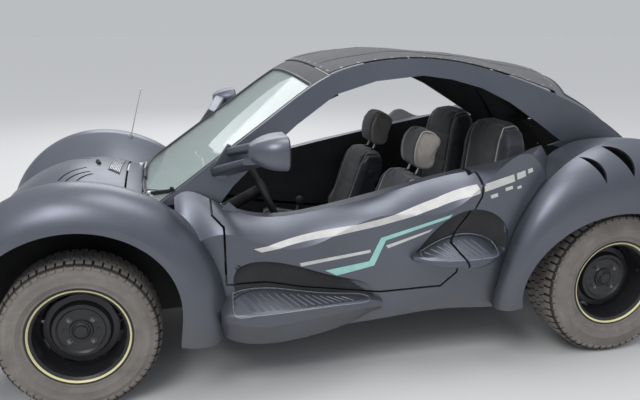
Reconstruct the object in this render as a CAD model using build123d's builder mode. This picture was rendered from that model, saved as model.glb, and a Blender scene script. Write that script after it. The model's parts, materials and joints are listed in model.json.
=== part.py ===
from build123d import *
import os
from math import cos, radians, sin, sqrt

# Closed-roof dune buggy on a rear-engined platform, four seats, two hinged doors.
# Units are millimetres. +X points forward, +Y to the driver's left, +Z up. The origin is on the
# ground, midway between the axles and between the left and right wheels.

os.makedirs("parts", exist_ok=True)

# Driving dimensions: axles, wheels and overall size
WHEELBASE = 2400
FRONT_X = WHEELBASE / 2
REAR_X = -WHEELBASE / 2
FRONT_TYRE_R = 322
FRONT_TYRE_W = 205
FRONT_WHEEL_Y = 665
REAR_TYRE_R = 348
REAR_TYRE_W = 235
REAR_WHEEL_Y = 700
FRONT_RIM_HALF = 85
REAR_RIM_HALF = 98
HALF_LENGTH = 1850

# Panel thicknesses and gaps
SKIN = 10
GLASS = 7
SEAM = 9
CLEAR = 1.0
HAIRLINE = 2.5
FRONT_WELL_R = 440
REAR_WELL_R = 455
WELL_SKIN = 8

# Steering: kingpin position and the column
KINGPIN_Y = 555
STEERING_WHEEL_AT = (400, 350, 790)
COLUMN_RISE = 25.6
STEERING_WHEEL_R = 190


def finish(builder, name):
    """Labels a finished sub-part and writes it as its own STEP file."""
    builder.part.label = name
    export_step(builder.part, f"parts/{name}.step")
    return builder.part


def largest_solid(builder):
    """The main solid of a sub-part whose cutting left offcuts."""
    with BuildPart() as main:
        add(builder.part.solids().sort_by(SortBy.VOLUME)[-1])
    return main


def mirrored(part, name):
    """The right-hand twin of a left-hand sub-part."""
    with BuildPart() as twin:
        add(part)
        mirror(about=Plane.XZ, mode=Mode.REPLACE)
    return finish(twin, name)


def radial_plane(centre, angle):
    """Plane through a line parallel to Y at centre (x, z): local x is the radius, local y is +Y."""
    a = radians(angle)
    return Plane(origin=(centre[0], 0, centre[1]), x_dir=(cos(a), 0, sin(a)), z_dir=(-sin(a), 0, cos(a)))


def cross_plane(x):
    """Cross-section plane at a station x: local x is +Y, local y is +Z."""
    return Plane(origin=(x, 0, 0), x_dir=(0, 1, 0), z_dir=(1, 0, 0))


def side_plane(y):
    """Side-view plane at y: local x is +X, local y is +Z, normal -Y."""
    return Plane(origin=(0, y, 0), x_dir=(1, 0, 0), z_dir=(0, -1, 0))


def bowed(p, q, rise):
    """Middle of the chord from p to q, moved to its left by rise."""
    dx, dy = q[0] - p[0], q[1] - p[1]
    size = sqrt(dx * dx + dy * dy)
    return ((p[0] + q[0]) / 2 - dy / size * rise, (p[1] + q[1]) / 2 + dx / size * rise)


def box(low, high):
    """A box between two opposite corners."""
    centre = tuple((p + q) / 2 for p, q in zip(low, high))
    with BuildPart() as block:
        with Locations(centre):
            Box(*(q - p for p, q in zip(low, high)))
    return block.part


def rod(p, q, radius):
    """A round bar from p to q."""
    start, end = Vector(*p), Vector(*q)
    with BuildPart() as bar:
        with BuildSketch(Plane(origin=start, z_dir=end - start)):
            Circle(radius)
        extrude(amount=(end - start).length)
    return bar.part


def ring_y(centre, near, far, outer, inner=0):
    """A ring or disc about a line parallel to Y, from y near to y far."""
    with BuildPart() as ring:
        with BuildSketch(side_plane(far)):
            with Locations(centre):
                Circle(outer)
                if inner:
                    Circle(inner, mode=Mode.SUBTRACT)
        extrude(amount=far - near, dir=(0, -1, 0))
    return ring.part


# Fenders: each row is one radial section round the wheel centre.
# Columns: angle, inner (r, y), crest (r, y), lip (r, y)
FRONT_FENDER = [
    (-14, (455, 452), (490, 590), (440, 790)),
    (20, (470, 448), (524, 592), (462, 805)),
    (50, (482, 444), (574, 604), (482, 825)),
    (80, (490, 444), (606, 615), (492, 838)),
    (110, (496, 450), (612, 625), (495, 842)),
    (140, (520, 500), (618, 640), (488, 842)),
    (166, (535, 575), (604, 660), (452, 838)),
    (188, (535, 610), (585, 675), (430, 828)),
]
REAR_FENDER = [
    (-6, (570, 690), (616, 782), (532, 852)),
    (20, (550, 690), (592, 788), (512, 868)),
    (45, (590, 610), (626, 780), (458, 880)),
    (70, (632, 535), (668, 768), (415, 885)),
    (95, (640, 500), (682, 745), (395, 885)),
    (125, (620, 530), (652, 705), (402, 875)),
    (155, (562, 525), (600, 690), (430, 858)),
    (178, (520, 510), (565, 680), (450, 845)),
]
LIP_BULGE = 0.74
FENDER_CORE_R = 350
FRONT_CENTRE = (FRONT_X, FRONT_TYRE_R)
REAR_CENTRE = (REAR_X, REAR_TYRE_R)


OVERRUN = 40
# The band that turns in below the fender's edge: its depth and how far it tucks in
LIP_BAND = 28
LIP_TUCK = 7


def fender_section(plane, row, inset, foot):
    """The area under one fender section, brought in by inset, down to the foot radius."""
    _, inner, crest, lip = row
    slope = inset * 0.72
    shoulder_r = lip[0] + LIP_BULGE * (crest[0] - lip[0]) - slope
    shoulder_y = crest[1] + LIP_BULGE * (lip[1] - crest[1]) - slope
    rise = bowed(inner, crest, -6)
    edge = inner[1] - (OVERRUN if inset > 0 else -inset)
    start = (inner[0] - inset, inner[1])
    top = (crest[0] - inset, crest[1])
    end = (lip[0], lip[1] - inset)
    with BuildSketch(plane) as section:
        with BuildLine():
            if inset:
                Line((start[0], edge), start)
            ThreePointArc(start, (rise[0] - inset, rise[1]), top)
            ThreePointArc(top, (shoulder_r, shoulder_y), end)
            tuck = end[1] - LIP_TUCK
            Polyline(end, (end[0] - LIP_BAND, tuck), (foot, tuck), (foot, edge), (start[0], edge))
        make_face()
    return section.sketch


def fender_core(centre, rows, inset=0, foot=FENDER_CORE_R):
    """The space a left fender covers, lofted through its radial sections."""
    sections = [fender_section(radial_plane(centre, row[0]), row, inset, foot) for row in rows]
    with BuildPart() as body:
        loft(sections)
    return body.part


def fender(centre, rows):
    """A left fender: a wall from its inner edge over the crest to the lip."""
    sections = []
    for row in rows:
        foot = min(row[1][0], row[3][0]) - LIP_BAND - 4
        sections.append(fender_section(radial_plane(centre, row[0]), row, 0, foot))
    with BuildPart() as wall:
        loft(sections)
        add(fender_core(centre, rows, SKIN, foot=FENDER_CORE_R - OVERRUN), mode=Mode.SUBTRACT)
    return wall.part


def flipped(part):
    """The right-hand image of a solid, for use as a cutter."""
    return mirror(part, about=Plane.XZ, mode=Mode.PRIVATE)


# Body shells: crowned radial sections from one side of the car to the other
CABIN_CENTRE = (-300, 500)
CABIN_BASE = (300, 700)
SCREEN_FOOT = (920, 770)
SCREEN_SLOPE = -0.71
# Windshield rows. Columns: angle, rise of the middle over the crest line, y of the crest
SCREEN = [(5, 58, 602), (13, 50, 598), (22, 45, 590), (32, 40, 581), (43, 36, 570), (54, 32, 558)]


def screen_radius(angle):
    """Distance from the cabin's centre to the windshield's straight side line."""
    rise = SCREEN_FOOT[1] - CABIN_CENTRE[1] - SCREEN_SLOPE * (SCREEN_FOOT[0] - CABIN_CENTRE[0])
    a = radians(angle)
    return rise / (sin(a) - SCREEN_SLOPE * cos(a))


# Columns: angle, radius at the middle, radius at the crest, y of the crest, bulge of the side
CABIN = [(angle, screen_radius(angle) + rise, screen_radius(angle), y, 14) for angle, rise, y in SCREEN] + [
    (64, 952, 921, 549, 14),
    (80, 918, 893, 539, 14),
    (96, 910, 881, 532, 14),
    (112, 948, 893, 522, 16),
    (129, 1072, 955, 502, 28),
    (146, 1185, 1095, 476, 56),
    (158, 1262, 1232, 455, 62),
]
# Columns: angle, radius at the middle, radius at the edge, half-width
NOSE = [
    (-20, 470, 445, 456),
    (5, 498, 462, 453),
    (30, 530, 474, 450),
    (55, 552, 484, 448),
    (80, 562, 490, 448),
    (105, 560, 495, 452),
    (126, 545, 508, 478),
    (146, 538, 526, 556),
]
TAIL = [
    (98, 678, 636, 470),
    (116, 668, 618, 560),
    (135, 650, 590, 552),
    (155, 618, 560, 535),
    (178, 575, 522, 515),
]


def cabin_solid(inset):
    """The space inside the cabin's outer surface, brought in by inset."""
    sections = []
    for angle, middle, crest, crest_y, bulge in CABIN:
        base, base_y = CABIN_BASE
        base = base - 4 * max(inset, 0)
        side = bowed((base, base_y - inset), (crest - inset, crest_y - inset), -bulge)
        with BuildSketch(radial_plane(CABIN_CENTRE, angle)) as section:
            with BuildLine():
                left_crest = (crest - inset, crest_y - inset)
                right_crest = (crest - inset, inset - crest_y)
                ThreePointArc((base, base_y - inset), side, left_crest)
                ThreePointArc(left_crest, (middle - inset, 0), right_crest)
                ThreePointArc(right_crest, (side[0], -side[1]), (base, inset - base_y))
                Line((base, inset - base_y), (base, base_y - inset))
            make_face()
        sections.append(section.sketch)
    with BuildPart() as solid:
        loft(sections)
    return solid.part


def cabin_shell(outer, inner):
    """The cabin's skin between two insets, without the open floor side."""
    with BuildPart() as shell:
        add(cabin_solid(outer))
        add(cabin_solid(inner), mode=Mode.SUBTRACT)
        add(ring_y(CABIN_CENTRE, -900, 900, CABIN_BASE[0] + 20), mode=Mode.SUBTRACT)
    return shell.part


def crowned_core(centre, rows, inset=0, foot=200):
    """The space under a crowned panel: shallow arcs from side to side, down to the foot radius."""
    sections = []
    for angle, middle, edge, half in rows:
        wide = half + (OVERRUN if inset else 0)
        with BuildSketch(radial_plane(centre, angle)) as section:
            with BuildLine():
                ThreePointArc((edge - inset, -half), (middle - inset, 0), (edge - inset, half))
                if inset:
                    Line((edge - inset, half), (edge - inset, wide))
                    Line((edge - inset, -wide), (edge - inset, -half))
                Polyline((edge - inset, wide), (foot, wide), (foot, -wide), (edge - inset, -wide))
            make_face()
        sections.append(section.sketch)
    with BuildPart() as core:
        loft(sections)
    return core.part


def crowned_shell(centre, rows):
    """A panel SKIN thick under the crowned surface."""
    with BuildPart() as shell:
        add(crowned_core(centre, rows))
        add(crowned_core(centre, rows, SKIN, foot=200 - OVERRUN), mode=Mode.SUBTRACT)
    return shell.part


def plan_prism(outline, low, high):
    """A vertical prism over a plan outline (x, y)."""
    with BuildPart() as prism:
        with BuildSketch(Plane.XY.offset(low)):
            with BuildLine():
                Polyline(*outline, close=True)
            make_face()
        extrude(amount=high - low, dir=(0, 0, 1))
    return prism.part


def side_prism(outline, near, far):
    """A prism across the car over a side-view outline (x, z), from y near to y far."""
    with BuildPart() as prism:
        with BuildSketch(side_plane(far)):
            with BuildLine():
                Polyline(*outline, close=True)
            make_face()
        extrude(amount=far - near, dir=(0, -1, 0))
    return prism.part


def wedge(centre, low, high, reach=1700):
    """A side-view triangle prism between two angles round a centre, right across the car."""
    a, b = radians(low), radians(high)
    p = (centre[0] + reach * cos(a), centre[1] + reach * sin(a))
    q = (centre[0] + reach * cos(b), centre[1] + reach * sin(b))
    return side_prism([centre, p, q], -1000, 1000)


# Cutting lines shared by neighbouring panels
CREST_PLAN = [(1120, 602), (740, 592), (440, 574), (170, 553), (-110, 541), (-380, 533),
              (-660, 523), (-960, 505), (-1290, 475), (-1560, 455)]
HOOD_REAR_X = 1015
HOOD_SHOULDER_X = 1100
HOOD_NOSE_X = 1630
HOOD_REAR_HALF = 405
HOOD_NOSE_HALF = 290
GLASS_BASE = 13.5
GLASS_TOP = 57.5
ROOF_FRONT = 62.5
ROOF_REAR = 134.5
REAR_GLASS_TOP = 138
REAR_GLASS_BASE = 153
LID_TOP = 117
LID_BASE = 160
LID_HALF = 380


def between_crests(inset):
    """Plan region between the two crest lines, narrowed by inset on each side."""
    left = [(x, y - inset) for x, y in CREST_PLAN]
    right = [(x, -y) for x, y in reversed(left)]
    return plan_prism(left + right, 400, 1600)


def hood_outline(grow):
    """Plan outline of the hood, from the cowl to the nose."""
    return [
        (HOOD_REAR_X - grow, HOOD_REAR_HALF + grow),
        (HOOD_SHOULDER_X, HOOD_REAR_HALF + grow),
        (HOOD_NOSE_X + grow, HOOD_NOSE_HALF + grow),
        (HOOD_NOSE_X + grow, -HOOD_NOSE_HALF - grow),
        (HOOD_SHOULDER_X, -HOOD_REAR_HALF - grow),
        (HOOD_REAR_X - grow, -HOOD_REAR_HALF - grow),
    ]


front_core = fender_core(FRONT_CENTRE, FRONT_FENDER)
rear_core = fender_core(REAR_CENTRE, REAR_FENDER)
front_clear = fender_core(FRONT_CENTRE, FRONT_FENDER, -HAIRLINE)
rear_clear = fender_core(REAR_CENTRE, REAR_FENDER, -HAIRLINE)
nose_core = crowned_core(FRONT_CENTRE, NOSE)
cabin_full = cabin_solid(0)
tail_core = crowned_core(REAR_CENTRE, TAIL)

# Body side with the door, by cross sections. Columns: x, inner y, belt (y, z), crease (y, z), foot z
SIDE = [
    (800, 588, (611, 842), (712, 690), 330),
    (700, 590, (616, 852), (742, 690), 285),
    (605, 612, (664, 806), (770, 716), 252),
    (460, 622, (684, 757), (780, 668), 238),
    (140, 622, (684, 779), (786, 692), 255),
    (-160, 622, (684, 842), (786, 752), 272),
    (-490, 622, (684, 905), (782, 846), 272),
    (-780, 610, (676, 960), (770, 925), 300),
    (-1020, 575, (622, 992), (662, 974), 420),
]
WAIST_TUCK = 32
FOOT_TUCK = 46
QUARTER_INNER_Y = 592


def side_solid():
    """The left body side, from the inner wall to the outer skin, door included."""
    sections = []
    for x, inner_y, belt, crease, foot_z in SIDE:
        waist = (crease[0] - WAIST_TUCK, (crease[1] + foot_z) / 2)
        foot = (crease[0] - FOOT_TUCK, foot_z)
        with BuildSketch(cross_plane(x)) as section:
            with BuildLine():
                Polyline((inner_y, foot_z), (inner_y, belt[1]), belt)
                ThreePointArc(belt, bowed(belt, crease, 8), crease)
                ThreePointArc(crease, waist, foot)
                Line(foot, (inner_y, foot_z))
            make_face()
        sections.append(section.sketch)
    with BuildPart() as solid:
        loft(sections)
    return solid.part


# Door outline in side view, from the top front corner round to the top rear corner
DOOR = [
    (650, 1000), (650, 782), (608, 742), (605, 492), (440, 486), (290, 452), (-60, 402), (-345, 396),
    (-415, 455), (-425, 520), (-372, 600), (-452, 710), (-498, 810), (-490, 1000),
]
# The upright front corner of the door's top
SAIL = [(644, 775), (583, 826), (545, 790), (575, 752), (614, 735)]
SAIL_Y = (668, 684)
# Behind the front pillar the door's edge is stepped, and the body's jamb laps behind it
JAMB_FRONT_X = 560
DOOR_SHOULDER_Z = 700
DOOR_STEP_Y = 705
JAMB_Y = 695
DOOR_STEP = 30
JAMB_LAP = 9


def door_prism(grow):
    """The door's outline carried across the body side, grown by the seam."""
    with BuildPart() as prism:
        with BuildSketch(side_plane(900)):
            with BuildLine():
                Polyline(*DOOR, close=True)
            make_face()
            if grow:
                offset(amount=grow, kind=Kind.INTERSECTION)
        extrude(amount=400, dir=(0, -1, 0))
    return prism.part


# Hollows in the body side above the two foot steps. Columns: x, centre z, half height, depth
HOLLOW_Y = 757
STEP_HOLLOW = [
    (594, 478, 26, 6), (560, 472, 88, 20), (455, 462, 132, 27), (334, 440, 126, 25), (164, 405, 92, 17),
    (-56, 370, 14, 5),
]
SCOOP_HOLLOW = [
    (-215, 560, 12, 5), (-315, 600, 92, 24), (-400, 606, 142, 32), (-511, 606, 150, 33),
    (-597, 604, 112, 24), (-650, 600, 30, 6),
]
# Foot steps. Columns: x, inner rim (y, z), outer rim (y, z), depth of the outer band, bottom z
STEP_ROOT_Y = 700
SIDE_STEP = [
    (640, (716, 420), (806, 384), 34, 268),
    (585, (728, 448), (850, 393), 40, 248),
    (500, (734, 462), (866, 394), 54, 234),
    (380, (734, 450), (866, 396), 56, 232),
    (180, (740, 412), (848, 396), 44, 252),
    (20, (750, 394), (808, 384), 34, 278),
    (-60, (745, 368), (782, 362), 26, 290),
]
SCOOP = [
    (-196, (758, 556), (780, 552), 14, 534),
    (-235, (748, 572), (812, 556), 24, 520),
    (-300, (736, 600), (838, 552), 32, 505),
    (-400, (730, 630), (848, 548), 38, 492),
    (-500, (730, 626), (842, 547), 38, 492),
    (-580, (736, 590), (812, 547), 28, 508),
    (-625, (750, 556), (778, 545), 14, 525),
]
STEP_EDGE_R = 8
STEP_UNDERCUT = 70
STEP_RIM = 12
DISH_DEPTH = 8
RIB_R = 5
RIB_SINK = 1
RIB_PITCH = 32
RIB_SLANT = 70


def hollow(rows):
    """A smooth hollow along the body side, lofted through upright ovals."""
    sections = []
    for x, z, half_height, depth in rows:
        with BuildSketch(cross_plane(x)) as section:
            with Locations((HOLLOW_Y, z)):
                Ellipse(depth, half_height)
        sections.append(section.sketch)
    with BuildPart() as solid:
        loft(sections)
    return solid.part


def pod(rows):
    """The body of a foot step: a sloped top, an upright outer band and a tucked underside."""
    sections = []
    for x, inner, (y, z), band, bottom in rows:
        r = STEP_EDGE_R
        heel = max(y - STEP_UNDERCUT, STEP_ROOT_Y + 6)
        with BuildSketch(cross_plane(x)) as section:
            with BuildLine():
                Polyline((STEP_ROOT_Y, bottom), (STEP_ROOT_Y, inner[1]), inner, (y - r, z + r / 2))
                ThreePointArc((y - r, z + r / 2), (y - r / 4, z - r / 4), (y, z - r))
                Polyline((y, z - r), (y - r, z - band), (heel, bottom), (STEP_ROOT_Y, bottom))
            make_face()
        sections.append(section.sketch)
    with BuildPart() as solid:
        loft(sections)
    return solid.part


def pad(rows):
    """The dish to take out of a step's sloped top, inside the rim."""
    sections = []
    inside = rows[1:-1]
    for x, inner, outer, _, _ in inside:
        p = Vector(*inner)
        q = Vector(outer[0] - STEP_EDGE_R, outer[1] + STEP_EDGE_R / 2)
        along = (q - p).normalized()
        up = Vector(-along.Y, along.X)
        margin = STEP_RIM + (0.2 * (q - p).length if x in (inside[0][0], inside[-1][0]) else 0)
        a, b = p + along * margin, q - along * margin
        high, low = up * STEP_EDGE_R, up * -DISH_DEPTH
        corners = [a + high, b + high, b + low, a + low]
        with BuildSketch(cross_plane(x)) as section:
            with BuildLine():
                Polyline(*[(c.X, c.Y) for c in corners], close=True)
            make_face()
        sections.append(section.sketch)
    with BuildPart() as strip:
        loft(sections)
    return strip.part


def on_step(rows, x, share, depth):
    """A point at x on a step's sloped top, a share of the way out from its inner rim, sunk by depth."""
    near = min((row for row in rows if row[0] >= x), key=lambda row: row[0])
    far = max((row for row in rows if row[0] < x), key=lambda row: row[0])
    part = (near[0] - x) / (near[0] - far[0])
    inner, outer = [[p + part * (q - p) for p, q in zip(near[i], far[i])] for i in (1, 2)]
    y = inner[0] + share * (outer[0] - inner[0])
    z = inner[1] + share * (outer[1] - inner[1])
    return (x, y, z - depth)


def foot_step(rows):
    """A moulded foot step: a pod whose top is dished inside a raised rim, with slanted round ribs."""
    ribs = []
    for i in range(int((rows[1][0] - rows[-2][0] - RIB_SLANT) / RIB_PITCH)):
        x = rows[1][0] - (i + 0.5) * RIB_PITCH
        inner = on_step(rows, x, 0.16, DISH_DEPTH + RIB_SINK)
        outer = on_step(rows, x - RIB_SLANT, 0.84, DISH_DEPTH + RIB_SINK)
        ribs.append(rod(inner, outer, RIB_R))
    with BuildPart() as step:
        add(pod(rows))
        add(pad(rows), mode=Mode.SUBTRACT)
        add(ribs)
    return step.part


# Fenders, with a flush lamp cover let into each. Lamps: angle round the wheel, y, half-sizes across and up
HEADLAMP = (36, 640, 105, 92)
TAIL_LAMP = (148, 700, 55, 80)
LAMP_SEAM = 2.5


def lamp_prism(centre, lamp, grow=0):
    """An oval prism along the wheel's radius, where a lamp cover is let into the fender."""
    angle, y, half_across, half_up = lamp
    a = radians(angle)
    origin = (centre[0] + 300 * cos(a), y, centre[1] + 300 * sin(a))
    with BuildPart() as prism:
        with BuildSketch(Plane(origin=origin, x_dir=(0, 1, 0), z_dir=(cos(a), 0, sin(a)))):
            Ellipse(half_across + grow, half_up + grow)
        extrude(amount=500)
    return prism.part


front_wall = fender(FRONT_CENTRE, FRONT_FENDER)
with BuildPart() as front_fender_left:
    add(front_wall)
    add(lamp_prism(FRONT_CENTRE, HEADLAMP, LAMP_SEAM), mode=Mode.SUBTRACT)
front_fender_left = finish(front_fender_left, "front_fender_left")
front_fender_right = mirrored(front_fender_left, "front_fender_right")

# Crescent vents in the rear fender, drawn on a plane tilted like its shoulder.
# Columns: upper tip, middle of the rear edge, lower tip, middle of the front edge
VENTS = [
    ((-954, 157), (-1020, 96), (-1030, 8), (-994, 84)),
    ((-1063, 190), (-1150, 140), (-1163, 24), (-1115, 108)),
]
VENT_NORMAL = Vector(0, 0.72, 0.69).normalized()
VENT_PLANE = Plane(origin=VENT_NORMAL * 1290, x_dir=(1, 0, 0), z_dir=-VENT_NORMAL)
VENT_REACH = 140

rear_wall = fender(REAR_CENTRE, REAR_FENDER)
with BuildPart() as rear_vents:
    for upper, rear, lower, front in VENTS:
        with BuildSketch(VENT_PLANE):
            with BuildLine():
                ThreePointArc(upper, rear, lower)
                ThreePointArc(lower, front, upper)
            make_face()
        extrude(amount=VENT_REACH)
with BuildPart() as rear_fender_left:
    add(rear_wall)
    add(cabin_full, mode=Mode.SUBTRACT)
    add(rear_vents.part, mode=Mode.SUBTRACT)
    add(lamp_prism(REAR_CENTRE, TAIL_LAMP, LAMP_SEAM), mode=Mode.SUBTRACT)
rear_fender_left = finish(largest_solid(rear_fender_left), "rear_fender_left")
rear_fender_right = mirrored(rear_fender_left, "rear_fender_right")

with BuildPart() as headlamps:
    add(front_wall)
    add(lamp_prism(FRONT_CENTRE, HEADLAMP), mode=Mode.INTERSECT)
    mirror(about=Plane.XZ)
finish(headlamps, "headlamps")
with BuildPart() as tail_lamps:
    add(rear_wall)
    add(lamp_prism(REAR_CENTRE, TAIL_LAMP), mode=Mode.INTERSECT)
    mirror(about=Plane.XZ)
finish(tail_lamps, "tail_lamps")

# Nose and hood. The hood has curved flutes beside the cowl, as arcs in plan through three points
nose_shell = crowned_shell(FRONT_CENTRE, NOSE)
FLUTES = [
    ((1296, 243), (1251, 151), (1193, 110)),
    ((1262, 268), (1229, 210), (1174, 172)),
    ((1216, 290), (1196, 242), (1159, 203)),
]
FLUTE_WIDTH = 12
FLUTE_DEPTH = 4
with BuildPart() as flutes:
    for arc in FLUTES:
        with BuildSketch(Plane.XY.offset(700)):
            SlotArc(Edge.make_three_point_arc(*arc), FLUTE_WIDTH)
        extrude(amount=300)
    mirror(about=Plane.XZ)
    add(nose_core, mode=Mode.INTERSECT)
    add(crowned_core(FRONT_CENTRE, NOSE, FLUTE_DEPTH, foot=200 - OVERRUN), mode=Mode.SUBTRACT)
with BuildPart() as hood:
    add(nose_shell)
    add(plan_prism(hood_outline(0), 420, 1000), mode=Mode.INTERSECT)
    add(flutes.part, mode=Mode.SUBTRACT)
hood = finish(hood, "hood")
with BuildPart() as nose_panel:
    add(nose_shell)
    add(plan_prism(hood_outline(SEAM), 420, 1000), mode=Mode.SUBTRACT)
    for neighbour in (front_core, front_fender_left):
        add(neighbour, mode=Mode.SUBTRACT)
        add(flipped(neighbour), mode=Mode.SUBTRACT)
nose_panel = finish(nose_panel, "nose_panel")

# Tail panel and engine lid
tail_shell = crowned_shell(REAR_CENTRE, TAIL)


def lid_cutter(grow):
    """The engine lid's outline: a wedge round the rear axle, narrowed to the lid's width."""
    with BuildPart() as cutter:
        add(wedge(REAR_CENTRE, LID_TOP - grow / 10, LID_BASE + grow / 10, 1000))
        add(plan_prism([(-3000, -LID_HALF - grow), (0, -LID_HALF - grow), (0, LID_HALF + grow),
                        (-3000, LID_HALF + grow)], 0, 1600), mode=Mode.INTERSECT)
    return cutter.part


with BuildPart() as engine_lid:
    add(tail_shell)
    add(lid_cutter(0), mode=Mode.INTERSECT)
engine_lid = finish(engine_lid, "engine_lid")
with BuildPart() as tail_panel:
    add(tail_shell)
    add(lid_cutter(SEAM), mode=Mode.SUBTRACT)
    for neighbour in (rear_core, rear_fender_left):
        add(neighbour, mode=Mode.SUBTRACT)
        add(flipped(neighbour), mode=Mode.SUBTRACT)
    add(cabin_full, mode=Mode.SUBTRACT)
tail_panel = finish(largest_solid(tail_panel), "tail_panel")

# Cabin: arches, windshield frame and glass, soft roof, rear window
ARCH_WALL = 42
ARCH_TOP = 14
GLASS_BORDER = 14
REAR_GLASS_BORDER = 46
ROOF_WALL = 14
FRAME_WALL = 26
REAR_FRAME_INNER_R = 1000
SIDE_OPENING = [
    (640, 700), (640, 768), (555, 872), (430, 990), (275, 1118), (100, 1240), (-80, 1292),
    (-300, 1312), (-440, 1292), (-590, 1250), (-740, 1180), (-900, 1080), (-1050, 982),
    (-780, 920), (-500, 700),
]
ARCH_FOOT = [
    (1200, 600), (1200, 560), (-1600, 560), (-1600, 780), (-1000, 965), (-760, 962),
    (-490, 907), (-160, 844), (140, 781), (460, 759), (690, 814), (900, 800),
]

arch_shell = cabin_shell(0, ARCH_WALL)
with BuildPart() as arches:
    add(arch_shell)
    add(between_crests(ARCH_TOP), mode=Mode.SUBTRACT)
    add(side_prism(SIDE_OPENING, -900, 900), mode=Mode.SUBTRACT)
    add(side_prism(ARCH_FOOT, -900, 900), mode=Mode.SUBTRACT)
    for core in (front_core, flipped(front_core), rear_core, flipped(rear_core), nose_core):
        add(core, mode=Mode.SUBTRACT)
with BuildPart() as arch_left:
    add(arches.part.solids().filter_by(lambda s: s.center().Y > 0).sort_by(SortBy.VOLUME)[-1])
arch_left = finish(arch_left, "side_arch_left")
arch_right = mirrored(arch_left, "side_arch_right")

with BuildPart() as glass_hole:
    add(wedge(CABIN_CENTRE, GLASS_BASE, GLASS_TOP))
    add(between_crests(ARCH_TOP + GLASS_BORDER), mode=Mode.INTERSECT)
with BuildPart() as windshield_frame:
    add(cabin_shell(0, FRAME_WALL))
    add(between_crests(ARCH_TOP + CLEAR), mode=Mode.INTERSECT)
    add(wedge(CABIN_CENTRE, GLASS_BASE - 4, ROOF_FRONT), mode=Mode.INTERSECT)
    add(glass_hole.part, mode=Mode.SUBTRACT)
    for core in (nose_core, front_clear, flipped(front_clear)):
        add(core, mode=Mode.SUBTRACT)
windshield_frame = finish(largest_solid(windshield_frame), "windshield_frame")
with BuildPart() as windshield:
    add(cabin_shell(8, 8 + GLASS))
    add(glass_hole.part, mode=Mode.INTERSECT)
    for core in (nose_core, front_core, flipped(front_core)):
        add(core, mode=Mode.SUBTRACT)
windshield = finish(largest_solid(windshield), "windshield")

with BuildPart() as soft_roof:
    add(cabin_shell(-4, ROOF_WALL))
    add(between_crests(ARCH_TOP + CLEAR), mode=Mode.INTERSECT)
    add(wedge(CABIN_CENTRE, ROOF_FRONT + 0.1, ROOF_REAR), mode=Mode.INTERSECT)
soft_roof = finish(soft_roof, "soft_roof")

with BuildPart() as rear_hole:
    add(wedge(CABIN_CENTRE, REAR_GLASS_TOP, REAR_GLASS_BASE))
    add(between_crests(ARCH_TOP + REAR_GLASS_BORDER), mode=Mode.INTERSECT)
with BuildPart() as rear_panel:
    add(cabin_shell(0, ROOF_WALL))
    add(between_crests(ARCH_TOP + CLEAR), mode=Mode.INTERSECT)
    add(wedge(CABIN_CENTRE, ROOF_REAR + 0.1, CABIN[-1][0]), mode=Mode.INTERSECT)
    add(rear_hole.part, mode=Mode.SUBTRACT)
    add(ring_y(CABIN_CENTRE, -900, 900, REAR_FRAME_INNER_R), mode=Mode.SUBTRACT)
    add(tail_core, mode=Mode.SUBTRACT)
rear_panel = finish(rear_panel, "rear_window_frame")
with BuildPart() as rear_window:
    add(cabin_shell(4, 4 + GLASS))
    add(rear_hole.part, mode=Mode.INTERSECT)
rear_window = finish(rear_window, "rear_window")

# Body side and door
with BuildPart() as whole_side:
    add(side_solid())
    add(hollow(STEP_HOLLOW), mode=Mode.SUBTRACT)
    add(hollow(SCOOP_HOLLOW), mode=Mode.SUBTRACT)
    add(foot_step(SCOOP))
with BuildPart() as door_step:
    add(door_prism(0))
    add(door_prism(-DOOR_STEP), mode=Mode.SUBTRACT)
    add(box((JAMB_FRONT_X, 500, DOOR_SHOULDER_Z), (700, 900, 1100)), mode=Mode.SUBTRACT)
    add(box((-600, 500, 200), (700, DOOR_STEP_Y, 1100)), mode=Mode.INTERSECT)
with BuildPart() as door_left:
    add(whole_side.part)
    add(side_prism(SAIL, *SAIL_Y))
    add(door_prism(0), mode=Mode.INTERSECT)
    add(door_step.part, mode=Mode.SUBTRACT)
    add(box((JAMB_FRONT_X, 500, 700), (700, 640, 1100)), mode=Mode.SUBTRACT)
    add(arch_left, mode=Mode.SUBTRACT)
door_left = finish(largest_solid(door_left), "door_left")
door_right = mirrored(door_left, "door_right")

with BuildPart() as door_hole:
    add(door_prism(SEAM))
    add(door_prism(-JAMB_LAP), mode=Mode.SUBTRACT)
    add(box((-600, 500, 200), (JAMB_FRONT_X, JAMB_Y, 1100)), mode=Mode.SUBTRACT)
    add(door_prism(-JAMB_LAP))
with BuildPart() as side_left:
    add(whole_side.part)
    add(door_hole.part, mode=Mode.SUBTRACT)
    add(foot_step(SIDE_STEP))
    for neighbour in (front_core, rear_clear, front_fender_left, arch_left):
        add(neighbour, mode=Mode.SUBTRACT)
    add(box((-1100, 400, 200), (-800, QUARTER_INNER_Y, 1100)), mode=Mode.SUBTRACT)
    add(ring_y(FRONT_CENTRE, 500, 900, FRONT_WELL_R + 2 * WELL_SKIN), mode=Mode.SUBTRACT)
    add(ring_y(REAR_CENTRE, 500, 900, REAR_WELL_R + 2 * WELL_SKIN), mode=Mode.SUBTRACT)
side_left = finish(largest_solid(side_left), "body_side_left")
side_right = mirrored(side_left, "body_side_right")

# Floor, bulkheads and inner wheel housings
FRONT_WELL_Y = 385
FRONT_WELL_EDGE = 440
REAR_WELL_Y = 545
REAR_WELL_EDGE = 616
BULKHEAD_X = 727
REAR_BULKHEAD_X = -985
BULKHEAD_HALF = 600
BEAM_X = 1335
BEAM_LOW = 262
BEAM_HIGH = 382
BEAM_R = 30


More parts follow.
